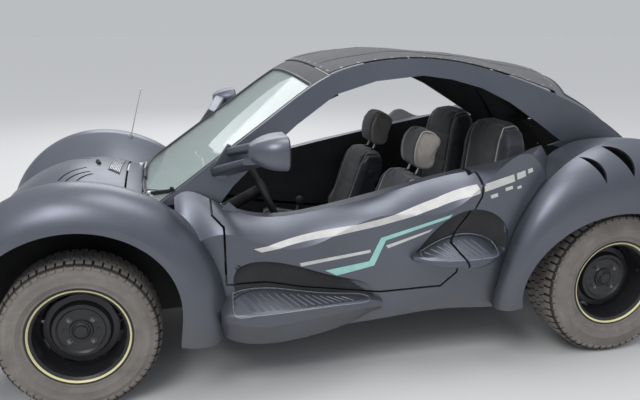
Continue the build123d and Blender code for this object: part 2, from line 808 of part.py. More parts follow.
def wheel_well(centre, radius, wall_y, edge_y, low, front, rear):
    """The left inner wheel housing: a flat wall and an arched shelf round the wheel."""
    with BuildPart() as well:
        add(ring_y(centre, wall_y, wall_y + WELL_SKIN, radius + WELL_SKIN))
        add(ring_y(centre, wall_y, edge_y, radius + WELL_SKIN, radius))
        add(box((rear, wall_y - 10, low), (front, edge_y + 10, 1200)), mode=Mode.INTERSECT)
    return well.part


TORSION_X = -800
TORSION_Z = 300
TORSION_R = 34
with BuildPart() as floor_pan:
    add(box((-770, -BULKHEAD_HALF, 238), (BULKHEAD_X, BULKHEAD_HALF, 252)))
    add(box((REAR_BULKHEAD_X, -535, 238), (-770, 535, 252)))
    add(rod((TORSION_X, -562, TORSION_Z), (TORSION_X, 562, TORSION_Z), TORSION_R))
    add(box((-900, -75, 252), (BULKHEAD_X, 75, 345)))
    add(box((BULKHEAD_X, -110, 238), (1290, 110, 320)))
    for side in (-1, 1):
        add(box((-1260, side * 190 - 25, 285), (-880, side * 190 + 25, 345)))
        add(box((-985, side * 190 - 25, 238), (-880, side * 190 + 25, 345)))
finish(floor_pan, "floor_pan")

FRONT_WELL_LIMITS = (253, 1595, BULKHEAD_X + 12)
front_well = wheel_well(FRONT_CENTRE, FRONT_WELL_R, FRONT_WELL_Y, FRONT_WELL_EDGE, *FRONT_WELL_LIMITS)
with BuildPart() as inner_front_body:
    add(front_well)
    add(flipped(front_well))
    add(box((BULKHEAD_X + 1, -500, 253), (BULKHEAD_X + 13, 500, 590)))
    add(box((BULKHEAD_X + 1, -FRONT_WELL_Y, 425), (1600, FRONT_WELL_Y, 435)))
    add(box((1590, -FRONT_WELL_Y, 425), (1600, FRONT_WELL_Y, 540)))
    add(box((700, -112, 200), (1400, 112, 322)), mode=Mode.SUBTRACT)
    for z in (BEAM_LOW, BEAM_HIGH):
        add(rod((BEAM_X, -500, z), (BEAM_X, 500, z), BEAM_R + 3), mode=Mode.SUBTRACT)
finish(inner_front_body, "inner_front_body")

rear_well = wheel_well(REAR_CENTRE, REAR_WELL_R, REAR_WELL_Y, REAR_WELL_EDGE, 300, -700, -1560)
with BuildPart() as inner_rear_body:
    add(rear_well)
    add(flipped(rear_well))
    add(box((REAR_BULKHEAD_X, -REAR_WELL_Y - 4, 347), (REAR_BULKHEAD_X + 12, REAR_WELL_Y + 4, 905)))
    add(ring_y(REAR_CENTRE, -700, 700, 46), mode=Mode.SUBTRACT)
    add(ring_y((TORSION_X, TORSION_Z), -700, 700, TORSION_R + 4), mode=Mode.SUBTRACT)
finish(inner_rear_body, "inner_rear_body")

# Front axle: two cross tubes ahead of the wheels, trailing arms and the kingpin carriers
KINGPIN_HALF = 70
ARM_Y = 462

with BuildPart() as front_axle:
    for z in (BEAM_LOW, BEAM_HIGH):
        add(rod((BEAM_X, -ARM_Y - 14, z), (BEAM_X, ARM_Y + 14, z), BEAM_R))
    for side in (-1, 1):
        add(box((BEAM_X - 20, side * 300 - 15, BEAM_LOW), (BEAM_X + 20, side * 300 + 15, BEAM_HIGH)))
        add(box((BEAM_X - 45, side * 60 - 15, BEAM_LOW + 5), (BEAM_X + 20, side * 60 + 15, BEAM_HIGH)))
        for z in (BEAM_LOW, BEAM_HIGH):
            add(rod((BEAM_X, side * ARM_Y, z), (FRONT_X, side * ARM_Y, z), 13))
        add(box((FRONT_X - 16, side * ARM_Y - 14, 225), (FRONT_X + 16, side * ARM_Y + 14, 420)))
        for z, end in ((FRONT_TYRE_R - KINGPIN_HALF - 14, 225), (FRONT_TYRE_R + KINGPIN_HALF + 2, 420)):
            low_y, high_y = sorted((side * ARM_Y, side * (KINGPIN_Y + 16)))
            add(box((FRONT_X - 16, low_y, z), (FRONT_X + 16, high_y, z + 12)))
finish(front_axle, "front_axle")

SPINDLE_R = 20
DRUM_INNER_Y = -72


def knuckle():
    """The left steering knuckle: kingpin barrel, spindle and a steering arm."""
    with BuildPart() as part:
        low = (FRONT_X, KINGPIN_Y, FRONT_TYRE_R - KINGPIN_HALF)
        high = (FRONT_X, KINGPIN_Y, FRONT_TYRE_R + KINGPIN_HALF)
        centre = (FRONT_X, KINGPIN_Y, FRONT_TYRE_R)
        add(rod(low, high, 17))
        add(rod(centre, (FRONT_X, FRONT_WHEEL_Y - 18, FRONT_TYRE_R), SPINDLE_R))
        arm_low = (FRONT_X - 130, KINGPIN_Y - 14, FRONT_TYRE_R - 12)
        add(box(arm_low, (FRONT_X, KINGPIN_Y + 8, FRONT_TYRE_R + 6)))
    return part


knuckle_left = finish(knuckle(), "knuckle_left")
knuckle_right = mirrored(knuckle_left, "knuckle_right")

# Wheels: profiles of (radius, y) from the wheel's middle plane, turned about the axle
def rim_profile(half):
    """The rim's barrel and flanges, half wide each way from the middle plane."""
    return [
        (208, half), (200, half), (182, half - 14), (179, half - 44), (179, 12 - half), (196, -half),
        (208, -half), (208, 7 - half), (190.5, 12 - half), (190.5, half - 12), (208, half - 7),
    ]


DISC_PROFILE = [
    (180, -24), (164, -20), (150, -2), (126, 2), (114, 22), (100, 25), (92, 17), (48, 17), (44, 24),
    (38, 24), (34, 16), (0, 16), (0, 8), (96, 8), (104, 12), (116, -4), (144, -12), (158, -29), (180, -33),
]
CAP_PROFILE = [(0, 15), (0, 27), (22, 25), (30, 15)]
SPINDLE_FIT_R = SPINDLE_R + 0.08
DRUM_PROFILE = [
    (SPINDLE_FIT_R, -16), (105, -16), (112, -24), (112, DRUM_INNER_Y), (40, DRUM_INNER_Y),
    (SPINDLE_FIT_R, -45),
]
DRUM_FACE_PROFILE = [(0, 9), (70, 9), (70, -16), (0, -16)]


def turned(profiles, centre, y):
    """Profiles of (radius, offset) turned about the axle line at centre (x, z), middle plane at y."""
    plane = Plane(origin=(centre[0], y, centre[1]), x_dir=(1, 0, 0), z_dir=(0, 0, 1))
    with BuildPart() as body:
        for profile in profiles:
            with BuildSketch(plane):
                with BuildLine():
                    Polyline(*profile, close=True)
                make_face()
            revolve(axis=Axis((centre[0], 0, centre[1]), (0, 1, 0)))
    return body


def tyre_profile(radius, width, rim_half):
    """The tyre's bead, sidewall bulge, shoulder and tread, from its radius, width and rim."""
    half = width / 2
    outside = [
        (191, rim_half - 15), (212, rim_half - 8), (256, half), (radius - 22, 0.93 * half),
        (radius, 0.74 * half),
    ]
    return [(r, -y) for r, y in outside] + outside[::-1]


SLOT_R = 154
SLOT_COUNT = 8
SLOT_LENGTH = 62
SLOT_WIDTH = 13


def disc_slots(centre, y):
    """The ring of slots between the wheel's disc and its barrel."""
    with BuildPart() as slots:
        with BuildSketch(side_plane(y)):
            with Locations(centre):
                with PolarLocations(SLOT_R, SLOT_COUNT, start_angle=22):
                    SlotOverall(SLOT_LENGTH, SLOT_WIDTH, rotation=90)
        extrude(amount=45, both=True)
    return slots.part


WHEELS = [
    ("front", FRONT_CENTRE, FRONT_WHEEL_Y, FRONT_TYRE_R, FRONT_TYRE_W, FRONT_RIM_HALF),
    ("rear", REAR_CENTRE, REAR_WHEEL_Y, REAR_TYRE_R, REAR_TYRE_W, REAR_RIM_HALF),
]
HUB_PROFILES = [DISC_PROFILE, CAP_PROFILE, DRUM_PROFILE, DRUM_FACE_PROFILE]
for place, centre, wheel_y, radius, width, rim_half in WHEELS:
    with BuildPart() as wheel:
        add(turned([rim_profile(rim_half)] + HUB_PROFILES, centre, wheel_y).part)
        add(disc_slots(centre, wheel_y), mode=Mode.SUBTRACT)
    mirrored(finish(wheel, f"wheel_{place}_left"), f"wheel_{place}_right")
    tyre = turned([tyre_profile(radius, width, rim_half)], centre, wheel_y)
    mirrored(finish(tyre, f"tyre_{place}_left"), f"tyre_{place}_right")

# Rear drive: gearbox with axle tubes and spring plates, engine block, exhaust
with BuildPart() as rear_axle:
    add(rod((-1000, 0, REAR_TYRE_R), (-1310, 0, REAR_TYRE_R), 150))
    for side in (-1, 1):
        add(rod((REAR_X, side * 120, REAR_TYRE_R), (REAR_X, side * 618, REAR_TYRE_R), 38))
        add(box((REAR_X - 30, side * 575 - 6, 290), (-770, side * 575 + 6, 362)))
        spindle_end = (REAR_X, side * (REAR_WHEEL_Y - 18), REAR_TYRE_R)
        add(rod((REAR_X, side * 600, REAR_TYRE_R), spindle_end, SPINDLE_R))
    for side in (-1, 1):
        add(box((-1261, side * 190 - 26, 240), (-870, side * 190 + 26, 360)), mode=Mode.SUBTRACT)
finish(rear_axle, "rear_axle")

ENGINE_X = -1312
with BuildPart() as engine:
    add(box((ENGINE_X - 300, -330, 262), (ENGINE_X, 330, 470)))
    add(box((ENGINE_X - 160, -160, 470), (ENGINE_X, 160, 700)))
finish(engine, "engine")
with BuildPart() as exhaust:
    add(rod((-1670, -300, 300), (-1670, 300, 300), 52))
    for side in (-1, 1):
        add(rod((-1670, side * 150, 290), (-1790, side * 150, 270), 19))
finish(exhaust, "exhaust")

# Dashboard, steering column and wheel
DASH_HALF = 530
COLUMN_R = 27
COLUMN_DIR = (-cos(radians(COLUMN_RISE)), 0, sin(radians(COLUMN_RISE)))
HUB = STEERING_WHEEL_AT


def along_column(distance):
    """A point on the column's axis, distance back from the steering wheel's hub towards the driver."""
    return tuple(h + distance * d for h, d in zip(HUB, COLUMN_DIR))


with BuildPart() as dashboard:
    with BuildSketch(side_plane(DASH_HALF)):
        with BuildLine():
            Polyline((722, 560), (722, 695), (640, 735), (590, 722), (575, 660), (610, 575), close=True)
        make_face()
    extrude(amount=2 * DASH_HALF, dir=(0, -1, 0))
    add(rod(along_column(60), along_column(-400), COLUMN_R + 3), mode=Mode.SUBTRACT)
finish(dashboard, "dashboard")

WHEEL_PLANE = Plane(origin=HUB, x_dir=(0, 1, 0), z_dir=COLUMN_DIR)
GRIP_R = 14
with BuildPart() as steering_wheel:
    with Locations(WHEEL_PLANE):
        Torus(STEERING_WHEEL_R - GRIP_R, GRIP_R)
    with BuildSketch(WHEEL_PLANE):
        Circle(52)
        with PolarLocations(STEERING_WHEEL_R / 2, 3, start_angle=30):
            Rectangle(STEERING_WHEEL_R - 2 * GRIP_R + 4, 34)
    extrude(amount=8, both=True)
finish(steering_wheel, "steering_wheel")

with BuildPart() as steering_column:
    add(rod(along_column(-13), along_column(-340), COLUMN_R))
finish(steering_column, "steering_column")

# Seats: side-view outlines (x, z), each a closed solid as wide as its cushion
SEAT_Y = 340
SEAT_HALF = 235
CUSHION = [(-205, 335), (-190, 405), (60, 418), (270, 452), (292, 420), (285, 350), (240, 330)]
SEAT_BACK = [
    (-185, 418), (-120, 440), (-175, 560), (-272, 828), (-305, 845), (-372, 818), (-290, 560), (-240, 430),
]
HEADREST = [(-330, 862), (-318, 945), (-352, 1045), (-378, 1056), (-448, 1020), (-425, 930), (-400, 858)]
REAR_CUSHION = [(-742, 350), (-735, 470), (-560, 492), (-395, 500), (-375, 470), (-385, 380), (-420, 350)]
REAR_BACK = [
    (-748, 480), (-700, 500), (-728, 700), (-770, 1040), (-800, 1068), (-868, 1050), (-830, 700), (-790, 480),
]
REAR_SEAT_HALF = 255
REAR_SEAT_Y = 272


def upholstery(outline, centres, half):
    """Equal cushions side by side: a side-view outline, half wide each way from each centre."""
    with BuildPart() as cushions:
        for y in centres:
            add(side_prism(outline, y - half, y + half))
    return cushions


finish(upholstery(CUSHION, (SEAT_Y, -SEAT_Y), SEAT_HALF), "front_seat_cushions")
finish(upholstery(SEAT_BACK, (SEAT_Y, -SEAT_Y), SEAT_HALF), "front_seat_backs")
finish(upholstery(HEADREST, (SEAT_Y, -SEAT_Y), 135), "headrests")
finish(upholstery(REAR_CUSHION, (0,), 2 * REAR_SEAT_HALF), "rear_seat_cushion")
finish(upholstery(REAR_BACK, (REAR_SEAT_Y, -REAR_SEAT_Y), REAR_SEAT_HALF), "rear_seat_backs")

# Pedestals under the front seats and the box under the rear bench, cut round the tunnel
with BuildPart() as seat_bases:
    for y in (SEAT_Y, -SEAT_Y):
        add(box((-170, y - 190, 253), (230, y + 190, 329)))
    add(box((-735, 20 - 2 * REAR_SEAT_HALF, 253), (-420, 2 * REAR_SEAT_HALF - 20, 349)))
    add(box((-800, -78, 200), (-400, 78, 347)), mode=Mode.SUBTRACT)
finish(seat_bases, "seat_bases")

# Mirrors on the front pillars: a domed shell on two arms from a foot, with an open gap between them.
# Arms and foot. Columns: y, then (x, z) of the middle, width and height of each end
MIRROR_AT = (445, 925, 1075)
MIRROR_ARMS = [
    ((585, (605, 934), (84, 44)), (850, (478, 1026), (120, 26))),
    ((585, (560, 1016), (56, 34)), (850, (478, 1082), (70, 36))),
]
MIRROR_FOOT = [(638, 958), (621, 908), (585, 910), (530, 1030), (570, 1052)]
MIRROR_FOOT_Y = (585, 612)
# Shell sections. Columns: offset in x, offset in y, width, height, corner radius
MIRROR_SHELL = [(-55, 0, 200, 128, 50), (20, 0, 176, 108, 48), (75, -10, 90, 52, 24)]

with BuildPart() as mirror_left:
    shell = []
    for dx, dy, width, height, corner in MIRROR_SHELL:
        with BuildSketch(cross_plane(MIRROR_AT[0] + dx)) as section:
            with Locations((MIRROR_AT[1] + dy, MIRROR_AT[2])):
                RectangleRounded(width, height, corner)
        shell.append(section.sketch)
    loft(shell)
    add(side_prism(MIRROR_FOOT, *MIRROR_FOOT_Y))
    for ends in MIRROR_ARMS:
        sections = []
        for y, middle, (width, height) in ends:
            with BuildSketch(side_plane(y)) as section:
                with Locations(middle):
                    RectangleRounded(width, height, height / 3)
            sections.append(section.sketch)
        loft(sections)
    add(arch_left, mode=Mode.SUBTRACT)
mirror_left = finish(largest_solid(mirror_left), "mirror_left")
mirrored(mirror_left, "mirror_right")

# Bumpers with a tow eye at each end
BUMPER_FRONT_X = HALF_LENGTH - 30
BUMPER_HALF = 560
EYE_R = 16
EYE_THICK = 14
with BuildPart() as bumpers:
    for end, x, z in ((1, BUMPER_FRONT_X, 400), (-1, -BUMPER_FRONT_X, 430)):
        add(rod((x, -BUMPER_HALF, z), (x, BUMPER_HALF, z), 30))
        for side in (-1, 1):
            low_x, high_x = sorted((x, end * 1660))
            add(box((low_x, side * 260 - 20, z - 15), (high_x, side * 260 + 20, z + 15)))
    add(ring_y((BUMPER_FRONT_X, 345), -EYE_THICK / 2, EYE_THICK / 2, 34))
    add(ring_y((-BUMPER_FRONT_X, 375), -EYE_THICK / 2, EYE_THICK / 2, 34))
    add(ring_y((BUMPER_FRONT_X, 345), -EYE_THICK, EYE_THICK, EYE_R), mode=Mode.SUBTRACT)
    add(ring_y((-BUMPER_FRONT_X, 375), -EYE_THICK, EYE_THICK, EYE_R), mode=Mode.SUBTRACT)
    add(nose_core, mode=Mode.SUBTRACT)
    add(tail_core, mode=Mode.SUBTRACT)
finish(bumpers, "bumpers")
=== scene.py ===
"""Looks for the closed-roof dune buggy: finishes, tyres, trim, glass, soft roof and seats.

Units are metres, in the model's own frame: +X forward, +Y to the driver's left, +Z up.
"""
import bmesh
import bpy
import json
from math import cos, exp, pi, radians, sin
from mathutils import Matrix, Vector, noise as field
from mathutils.bvhtree import BVHTree


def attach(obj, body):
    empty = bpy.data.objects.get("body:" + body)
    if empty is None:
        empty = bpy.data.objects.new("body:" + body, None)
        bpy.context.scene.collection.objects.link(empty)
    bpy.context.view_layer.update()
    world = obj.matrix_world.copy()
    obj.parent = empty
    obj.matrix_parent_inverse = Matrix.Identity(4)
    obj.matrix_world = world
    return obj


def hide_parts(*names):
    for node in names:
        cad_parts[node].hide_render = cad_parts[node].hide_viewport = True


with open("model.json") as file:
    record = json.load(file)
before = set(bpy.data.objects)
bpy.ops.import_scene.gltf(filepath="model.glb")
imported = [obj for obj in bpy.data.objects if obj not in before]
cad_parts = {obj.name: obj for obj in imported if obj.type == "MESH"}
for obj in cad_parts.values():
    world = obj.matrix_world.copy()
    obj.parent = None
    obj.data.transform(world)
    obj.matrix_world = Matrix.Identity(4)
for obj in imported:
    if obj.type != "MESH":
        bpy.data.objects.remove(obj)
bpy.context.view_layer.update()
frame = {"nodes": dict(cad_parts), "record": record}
nodes = frame["nodes"]

# Driving sizes, as in the model's source
FRONT_AXLE = Vector((1.2, 0.0, 0.322))
REAR_AXLE = Vector((-1.2, 0.0, 0.348))
FRONT_WHEEL_Y = 0.665
REAR_WHEEL_Y = 0.70
STEER_HUB = Vector((0.4, 0.35, 0.79))
STEER_RISE = 25.6

# The photograph's viewpoint
CAMERA_PLACE = (0.8052, 3.2672, 1.5285)
CAMERA_YAW = radians(-13.2)
CAMERA_PITCH = radians(15.11)
SENSOR_WIDTH = 36.0
LENS = 36.56


def camera():
    """Near the front fender, at head height, looking a little down."""
    level = cos(CAMERA_PITCH)
    forward = Vector((sin(CAMERA_YAW) * level, -cos(CAMERA_YAW) * level, -sin(CAMERA_PITCH)))
    right = Vector((-cos(CAMERA_YAW), -sin(CAMERA_YAW), 0.0))
    up = right.cross(forward)
    data = bpy.data.cameras.new("camera")
    data.sensor_width = SENSOR_WIDTH
    data.lens = LENS
    view = bpy.data.objects.new("camera", data)
    turn = Matrix((right, up, -forward)).transposed().to_4x4()
    view.matrix_world = Matrix.Translation(CAMERA_PLACE) @ turn
    bpy.context.scene.collection.objects.link(view)
    bpy.context.scene.camera = view


# Material helpers
def new_material(name, colour=(0.5, 0.5, 0.5), roughness=0.5, metallic=0.0, **sockets):
    """A Principled material; returns (material, node tree, shader)."""
    mat = bpy.data.materials.new(name)
    mat.use_nodes = True
    shader = mat.node_tree.nodes["Principled BSDF"]
    shader.inputs["Base Color"].default_value = (*colour, 1.0)
    shader.inputs["Roughness"].default_value = roughness
    shader.inputs["Metallic"].default_value = metallic
    for socket, value in sockets.items():
        shader.inputs[socket.replace("_", " ")].default_value = value
    return mat, mat.node_tree, shader


def object_coords(tree):
    """The object's own coordinates."""
    return tree.nodes.new("ShaderNodeTexCoord").outputs["Object"]


def noise(tree, scale, detail=4.0, roughness=0.55):
    """Noise over the object's own coordinates."""
    node = tree.nodes.new("ShaderNodeTexNoise")
    node.inputs["Scale"].default_value = scale
    node.inputs["Detail"].default_value = detail
    node.inputs["Roughness"].default_value = roughness
    tree.links.new(object_coords(tree), node.inputs["Vector"])
    return node.outputs["Fac"]


def ramp(tree, factor, *stops):
    """A colour ramp from (position, colour) stops."""
    node = tree.nodes.new("ShaderNodeValToRGB")
    elements = node.color_ramp.elements
    while len(elements) < len(stops):
        elements.new(0.5)
    for element, (place, colour) in zip(elements, stops):
        element.position = place
        element.color = (*colour, 1.0)
    tree.links.new(factor, node.inputs["Fac"])
    return node.outputs["Color"]


def spread(tree, factor, low, high, to_low, to_high):
    """Maps a factor's range to another range."""
    node = tree.nodes.new("ShaderNodeMapRange")
    tree.links.new(factor, node.inputs["Value"])
    for socket, value in zip(("From Min", "From Max", "To Min", "To Max"), (low, high, to_low, to_high)):
        node.inputs[socket].default_value = value
    return node.outputs["Result"]


def mix(tree, factor, first, second):
    """Mixes two colours; each is a socket or a colour."""
    node = tree.nodes.new("ShaderNodeMix")
    node.data_type = "RGBA"
    tree.links.new(factor, node.inputs["Factor"])
    for socket, value in ((node.inputs[6], first), (node.inputs[7], second)):
        if isinstance(value, bpy.types.NodeSocket):
            tree.links.new(value, socket)
        else:
            socket.default_value = (*value, 1.0)
    return node.outputs[2]


def combine(tree, operation, first, second):
    """A math node over two sockets or numbers."""
    node = tree.nodes.new("ShaderNodeMath")
    node.operation = operation
    for socket, value in zip(node.inputs, (first, second)):
        if isinstance(value, bpy.types.NodeSocket):
            tree.links.new(value, socket)
        else:
            socket.default_value = value
    return node.outputs[0]


def bump(tree, shader, height, strength, distance):
    """Fine relief from a height."""
    node = tree.nodes.new("ShaderNodeBump")
    node.inputs["Strength"].default_value = strength
    node.inputs["Distance"].default_value = distance
    tree.links.new(height, node.inputs["Height"])
    tree.links.new(node.outputs["Normal"], shader.inputs["Normal"])


def height_above_road(tree):
    """The Z of a point on the object."""
    node = tree.nodes.new("ShaderNodeSeparateXYZ")
    tree.links.new(object_coords(tree), node.inputs[0])
    return node.outputs["Z"]


# Materials
def paint_material():
    """Satin charcoal paint with a bluish sheen, slightly cloudy, dusty towards the road."""
    mat, tree, shader = new_material("body_paint", roughness=0.36, metallic=0.72,
                                     Coat_Weight=0.12, Coat_Roughness=0.3)
    cloud = noise(tree, 2.2, 5.0)
    tone = ramp(tree, cloud, (0.3, (0.115, 0.124, 0.150)), (0.7, (0.145, 0.156, 0.186)))
    flake = noise(tree, 900.0, 1.0)
    tone = mix(tree, spread(tree, flake, 0.62, 0.75, 0.0, 0.35), tone, (0.20, 0.22, 0.26))
    low = spread(tree, height_above_road(tree), 0.22, 0.55, 1.0, 0.0)
    dust = combine(tree, "MULTIPLY", low, spread(tree, noise(tree, 9.0, 8.0, 0.7), 0.35, 0.75, 0.0, 0.75))
    tree.links.new(mix(tree, dust, tone, (0.16, 0.145, 0.125)), shader.inputs["Base Color"])
    rough = spread(tree, noise(tree, 5.0, 6.0, 0.65), 0.3, 0.7, 0.32, 0.42)
    rough = combine(tree, "ADD", rough, combine(tree, "MULTIPLY", dust, 0.35))
    tree.links.new(rough, shader.inputs["Roughness"])
    bump(tree, shader, noise(tree, 260.0, 2.0), 0.03, 0.001)
    return mat


def plastic_material(name, colour, roughness=0.6, grain=420.0, depth=0.25):
    """Moulded plastic with a fine grain and slight fading."""
    mat, tree, shader = new_material(name, roughness=roughness)
    pale = tuple(min(1.0, c * 1.45 + 0.01) for c in colour)
    tone = ramp(tree, noise(tree, 6.0, 5.0), (0.3, colour), (0.8, pale))
    tree.links.new(tone, shader.inputs["Base Color"])
    cells = tree.nodes.new("ShaderNodeTexVoronoi")
    cells.inputs["Scale"].default_value = grain
    tree.links.new(object_coords(tree), cells.inputs["Vector"])
    bump(tree, shader, cells.outputs["Distance"], depth, 0.0006)
    return mat


def metal_material(name, colour, roughness=0.5, metallic=0.8, dusty=0.5):
    """Dull metal with stains and road dust."""
    mat, tree, shader = new_material(name, roughness=roughness, metallic=metallic)
    stain = spread(tree, noise(tree, 14.0, 8.0, 0.7), 0.45, 0.7, 0.0, dusty)
    tree.links.new(mix(tree, stain, colour, (0.14, 0.12, 0.10)), shader.inputs["Base Color"])
    worn = spread(tree, noise(tree, 30.0, 4.0), 0.3, 0.7, roughness - 0.1, roughness + 0.15)
    tree.links.new(worn, shader.inputs["Roughness"])
    bump(tree, shader, noise(tree, 180.0, 4.0), 0.2, 0.0008)
    return mat


def fabric_material(name, dark, light, weave=900.0, roughness=0.9):
    """Woven cloth: crossing waves for the threads, painted shade between them, a soft sheen and slight
    soiling.
    """
    mat, tree, shader = new_material(name, roughness=roughness, Sheen_Weight=0.3, Sheen_Roughness=0.5)
    heights = []
    for axis in ("X", "Y"):
        wave = tree.nodes.new("ShaderNodeTexWave")
        wave.bands_direction = axis
        wave.inputs["Scale"].default_value = weave
        wave.inputs["Distortion"].default_value = 0.6
        tree.links.new(object_coords(tree), wave.inputs["Vector"])
        heights.append(wave.outputs["Fac"])
    threads = combine(tree, "MAXIMUM", *heights)
    tone = ramp(tree, noise(tree, 7.0, 6.0, 0.65), (0.3, dark), (0.75, light))
    # Painted shade between the threads: the colour darkens where the weave lies low
    shade = spread(tree, threads, 0.2, 0.9, 0.25, 0.0)
    tree.links.new(mix(tree, shade, tone, (0.0, 0.0, 0.0)), shader.inputs["Base Color"])
    bump(tree, shader, threads, 0.35, 0.0006)
    return mat


def rubber_material():
    """Tyre rubber, dusty grey-brown, darker in the grooves' streaks."""
    mat, tree, shader = new_material("tyre_rubber", roughness=0.88)
    streaks = noise(tree, 11.0, 8.0, 0.7)
    tone = ramp(tree, streaks, (0.25, (0.150, 0.136, 0.122)), (0.75, (0.270, 0.245, 0.222)))
    tree.links.new(tone, shader.inputs["Base Color"])
    bump(tree, shader, noise(tree, 320.0, 3.0), 0.25, 0.0008)
    return mat


def glass_material():
    """Thin laminated glass with a slight green tint."""
    mat, tree, shader = new_material("window_glass", (0.62, 0.74, 0.70), 0.02, Alpha=0.34, IOR=1.5)
    smear = spread(tree, noise(tree, 8.0, 6.0, 0.6), 0.4, 0.8, 0.02, 0.12)
    tree.links.new(smear, shader.inputs["Roughness"])
    return mat


def film_material(name, colour, roughness, **sockets):
    """Sticker film or lamp plastic, faintly uneven in tone and gloss."""
    mat, tree, shader = new_material(name, roughness=roughness, **sockets)
    worn = tuple(c * 0.86 for c in colour)
    tone = ramp(tree, noise(tree, 24.0, 6.0), (0.35, worn), (0.65, colour))
    tree.links.new(tone, shader.inputs["Base Color"])
    gloss = spread(tree, noise(tree, 60.0, 4.0), 0.3, 0.7, roughness * 0.8, roughness * 1.2)
    tree.links.new(gloss, shader.inputs["Roughness"])
    return mat


# Columns: name, maker, the maker's own values
FINISHES = [
    ("chassis_black", metal_material, (0.02, 0.02, 0.021), 0.55, 0.2),
    ("liner_black", plastic_material, (0.016, 0.016, 0.017), 0.8, 260.0, 0.4),
    ("cast_metal", metal_material, (0.20, 0.20, 0.20), 0.55, 0.8),
    ("exhaust_steel", metal_material, (0.22, 0.19, 0.17), 0.5, 0.9, 0.7),
    ("seal_rubber", plastic_material, (0.014, 0.014, 0.016), 0.62, 700.0, 0.1),
    ("roof_cloth", fabric_material, (0.012, 0.012, 0.014), (0.030, 0.030, 0.034), 700.0, 0.75),
    ("wheel_black", plastic_material, (0.014, 0.014, 0.016), 0.38, 900.0, 0.05),
    ("dash_plastic", plastic_material, (0.018, 0.018, 0.020), 0.55, 520.0, 0.3),
    ("seat_fabric", fabric_material, (0.035, 0.036, 0.040), (0.085, 0.086, 0.092)),
    ("headrest_fabric", fabric_material, (0.26, 0.24, 0.22), (0.40, 0.37, 0.34)),
    ("trim_black", plastic_material, (0.016, 0.016, 0.018), 0.5, 500.0, 0.2),
    # Near-black finish for the tyres' groove floors: painted shade
    ("groove_dark", plastic_material, (0.030, 0.027, 0.024), 0.9, 300.0, 0.2),
    ("yellow_line", plastic_material, (0.70, 0.64, 0.34), 0.4, 900.0, 0.02),
    ("seal_line", metal_material, (0.30, 0.31, 0.33), 0.35, 0.7, 0.15),
    ("bright_metal", metal_material, (0.55, 0.56, 0.58), 0.28, 0.9, 0.12),
    ("snap_metal", metal_material, (0.32, 0.32, 0.33), 0.35, 0.9, 0.2),
    # Pale lines along the rims of the foot steps: painted highlight
    ("rim_paint", metal_material, (0.40, 0.42, 0.46), 0.3, 0.5, 0.1),
    ("piping", fabric_material, (0.42, 0.40, 0.36), (0.55, 0.52, 0.47), 1400.0, 0.7),
    ("bolster_vinyl", fabric_material, (0.020, 0.022, 0.030), (0.034, 0.037, 0.048), 1500.0, 0.55),
    ("band_white", film_material, (0.72, 0.71, 0.68), 0.42),
    ("band_green", film_material, (0.40, 0.74, 0.69), 0.40),
]
MATERIALS = {name: make(name, *values) for name, make, *values in FINISHES}
MATERIALS["body_paint"] = paint_material()
MATERIALS["tyre_rubber"] = rubber_material()
MATERIALS["window_glass"] = glass_material()
MATERIALS["lamp_red"] = film_material("lamp_red", (0.42, 0.015, 0.015), 0.12, Coat_Weight=0.6)
MATERIALS["mirror_glass"] = new_material("mirror_glass", (0.62, 0.66, 0.70), 0.03, 1.0)[0]
MATERIALS["mirror_plastic"] = MATERIALS["body_paint"]
MATERIALS["lamp_cover"] = MATERIALS["body_paint"]


def facing(x, y, z):
    """Tells whether a face looks towards an inner point, taken on the face's own side of the car."""
    def inner(centre, normal):
        """Tells it of one face."""
        point = Vector((x, y if centre.y > 0 else -y, z))
        return normal.dot(centre - point) < 0
    return inner


def inside_wall(centre, normal):
    """Tells whether a face of a side panel looks in towards the cabin."""
    return normal.y * (1 if centre.y > 0 else -1) < -0.2


# Hollows above the two foot steps, as in the model's source; their faces carry painted shade
HOLLOW_Y = 0.757
# A face lies on a hollow's wall when it is this far in and this near to the ellipse, as shares of it
EDGE_ON = 0.05
HOLLOW_EDGE = -0.03
HOLLOW_REACH = (0.55, 1.6)
# Columns: x, centre z, half height, depth, height of the step
STEP_HOLLOW = [
    (0.594, 0.478, 0.026, 0.006, 0.440), (0.560, 0.472, 0.088, 0.020, 0.446),
    (0.455, 0.462, 0.132, 0.027, 0.454), (0.334, 0.440, 0.126, 0.025, 0.435),
    (0.164, 0.405, 0.092, 0.017, 0.403), (-0.056, 0.370, 0.014, 0.005, 0.382),
]
SCOOP_HOLLOW = [
    (-0.215, 0.560, 0.012, 0.005, 0.556), (-0.315, 0.600, 0.092, 0.024, 0.598),
    (-0.400, 0.606, 0.142, 0.032, 0.622), (-0.511, 0.606, 0.150, 0.033, 0.616),
    (-0.597, 0.604, 0.112, 0.024, 0.574), (-0.650, 0.600, 0.030, 0.006, 0.550),
]


def in_painted_shade_hollow(centre, normal):
    """Tells whether a face of a side panel lies on one of the hollows, which carry painted shade. Faces on
    edge don't count.
    """
    if abs(normal.y) < EDGE_ON:
        return False
    for start, end in [*zip(STEP_HOLLOW, STEP_HOLLOW[1:]), *zip(SCOOP_HOLLOW, SCOOP_HOLLOW[1:])]:
        if end[0] <= centre.x <= start[0]:
            t = (start[0] - centre.x) / (start[0] - end[0])
            z, half, depth, step = [a + (b - a) * t for a, b in zip(start[1:], end[1:])]
            across = (abs(centre.y) - HOLLOW_Y) / depth
            up = (centre.z - z) / half
            reach = across * across + up * up
            return centre.z >= step and across < HOLLOW_EDGE and HOLLOW_REACH[0] < reach < HOLLOW_REACH[1]
    return False


SIDE_PANELS = ("body_side_left", "body_side_right", "door_left", "door_right")
FRONT_HOUSING = (1.2, 0.6, 0.3)
REAR_HOUSING = (-1.2, 0.62, 0.3)
SHARP_ANGLE = radians(32)
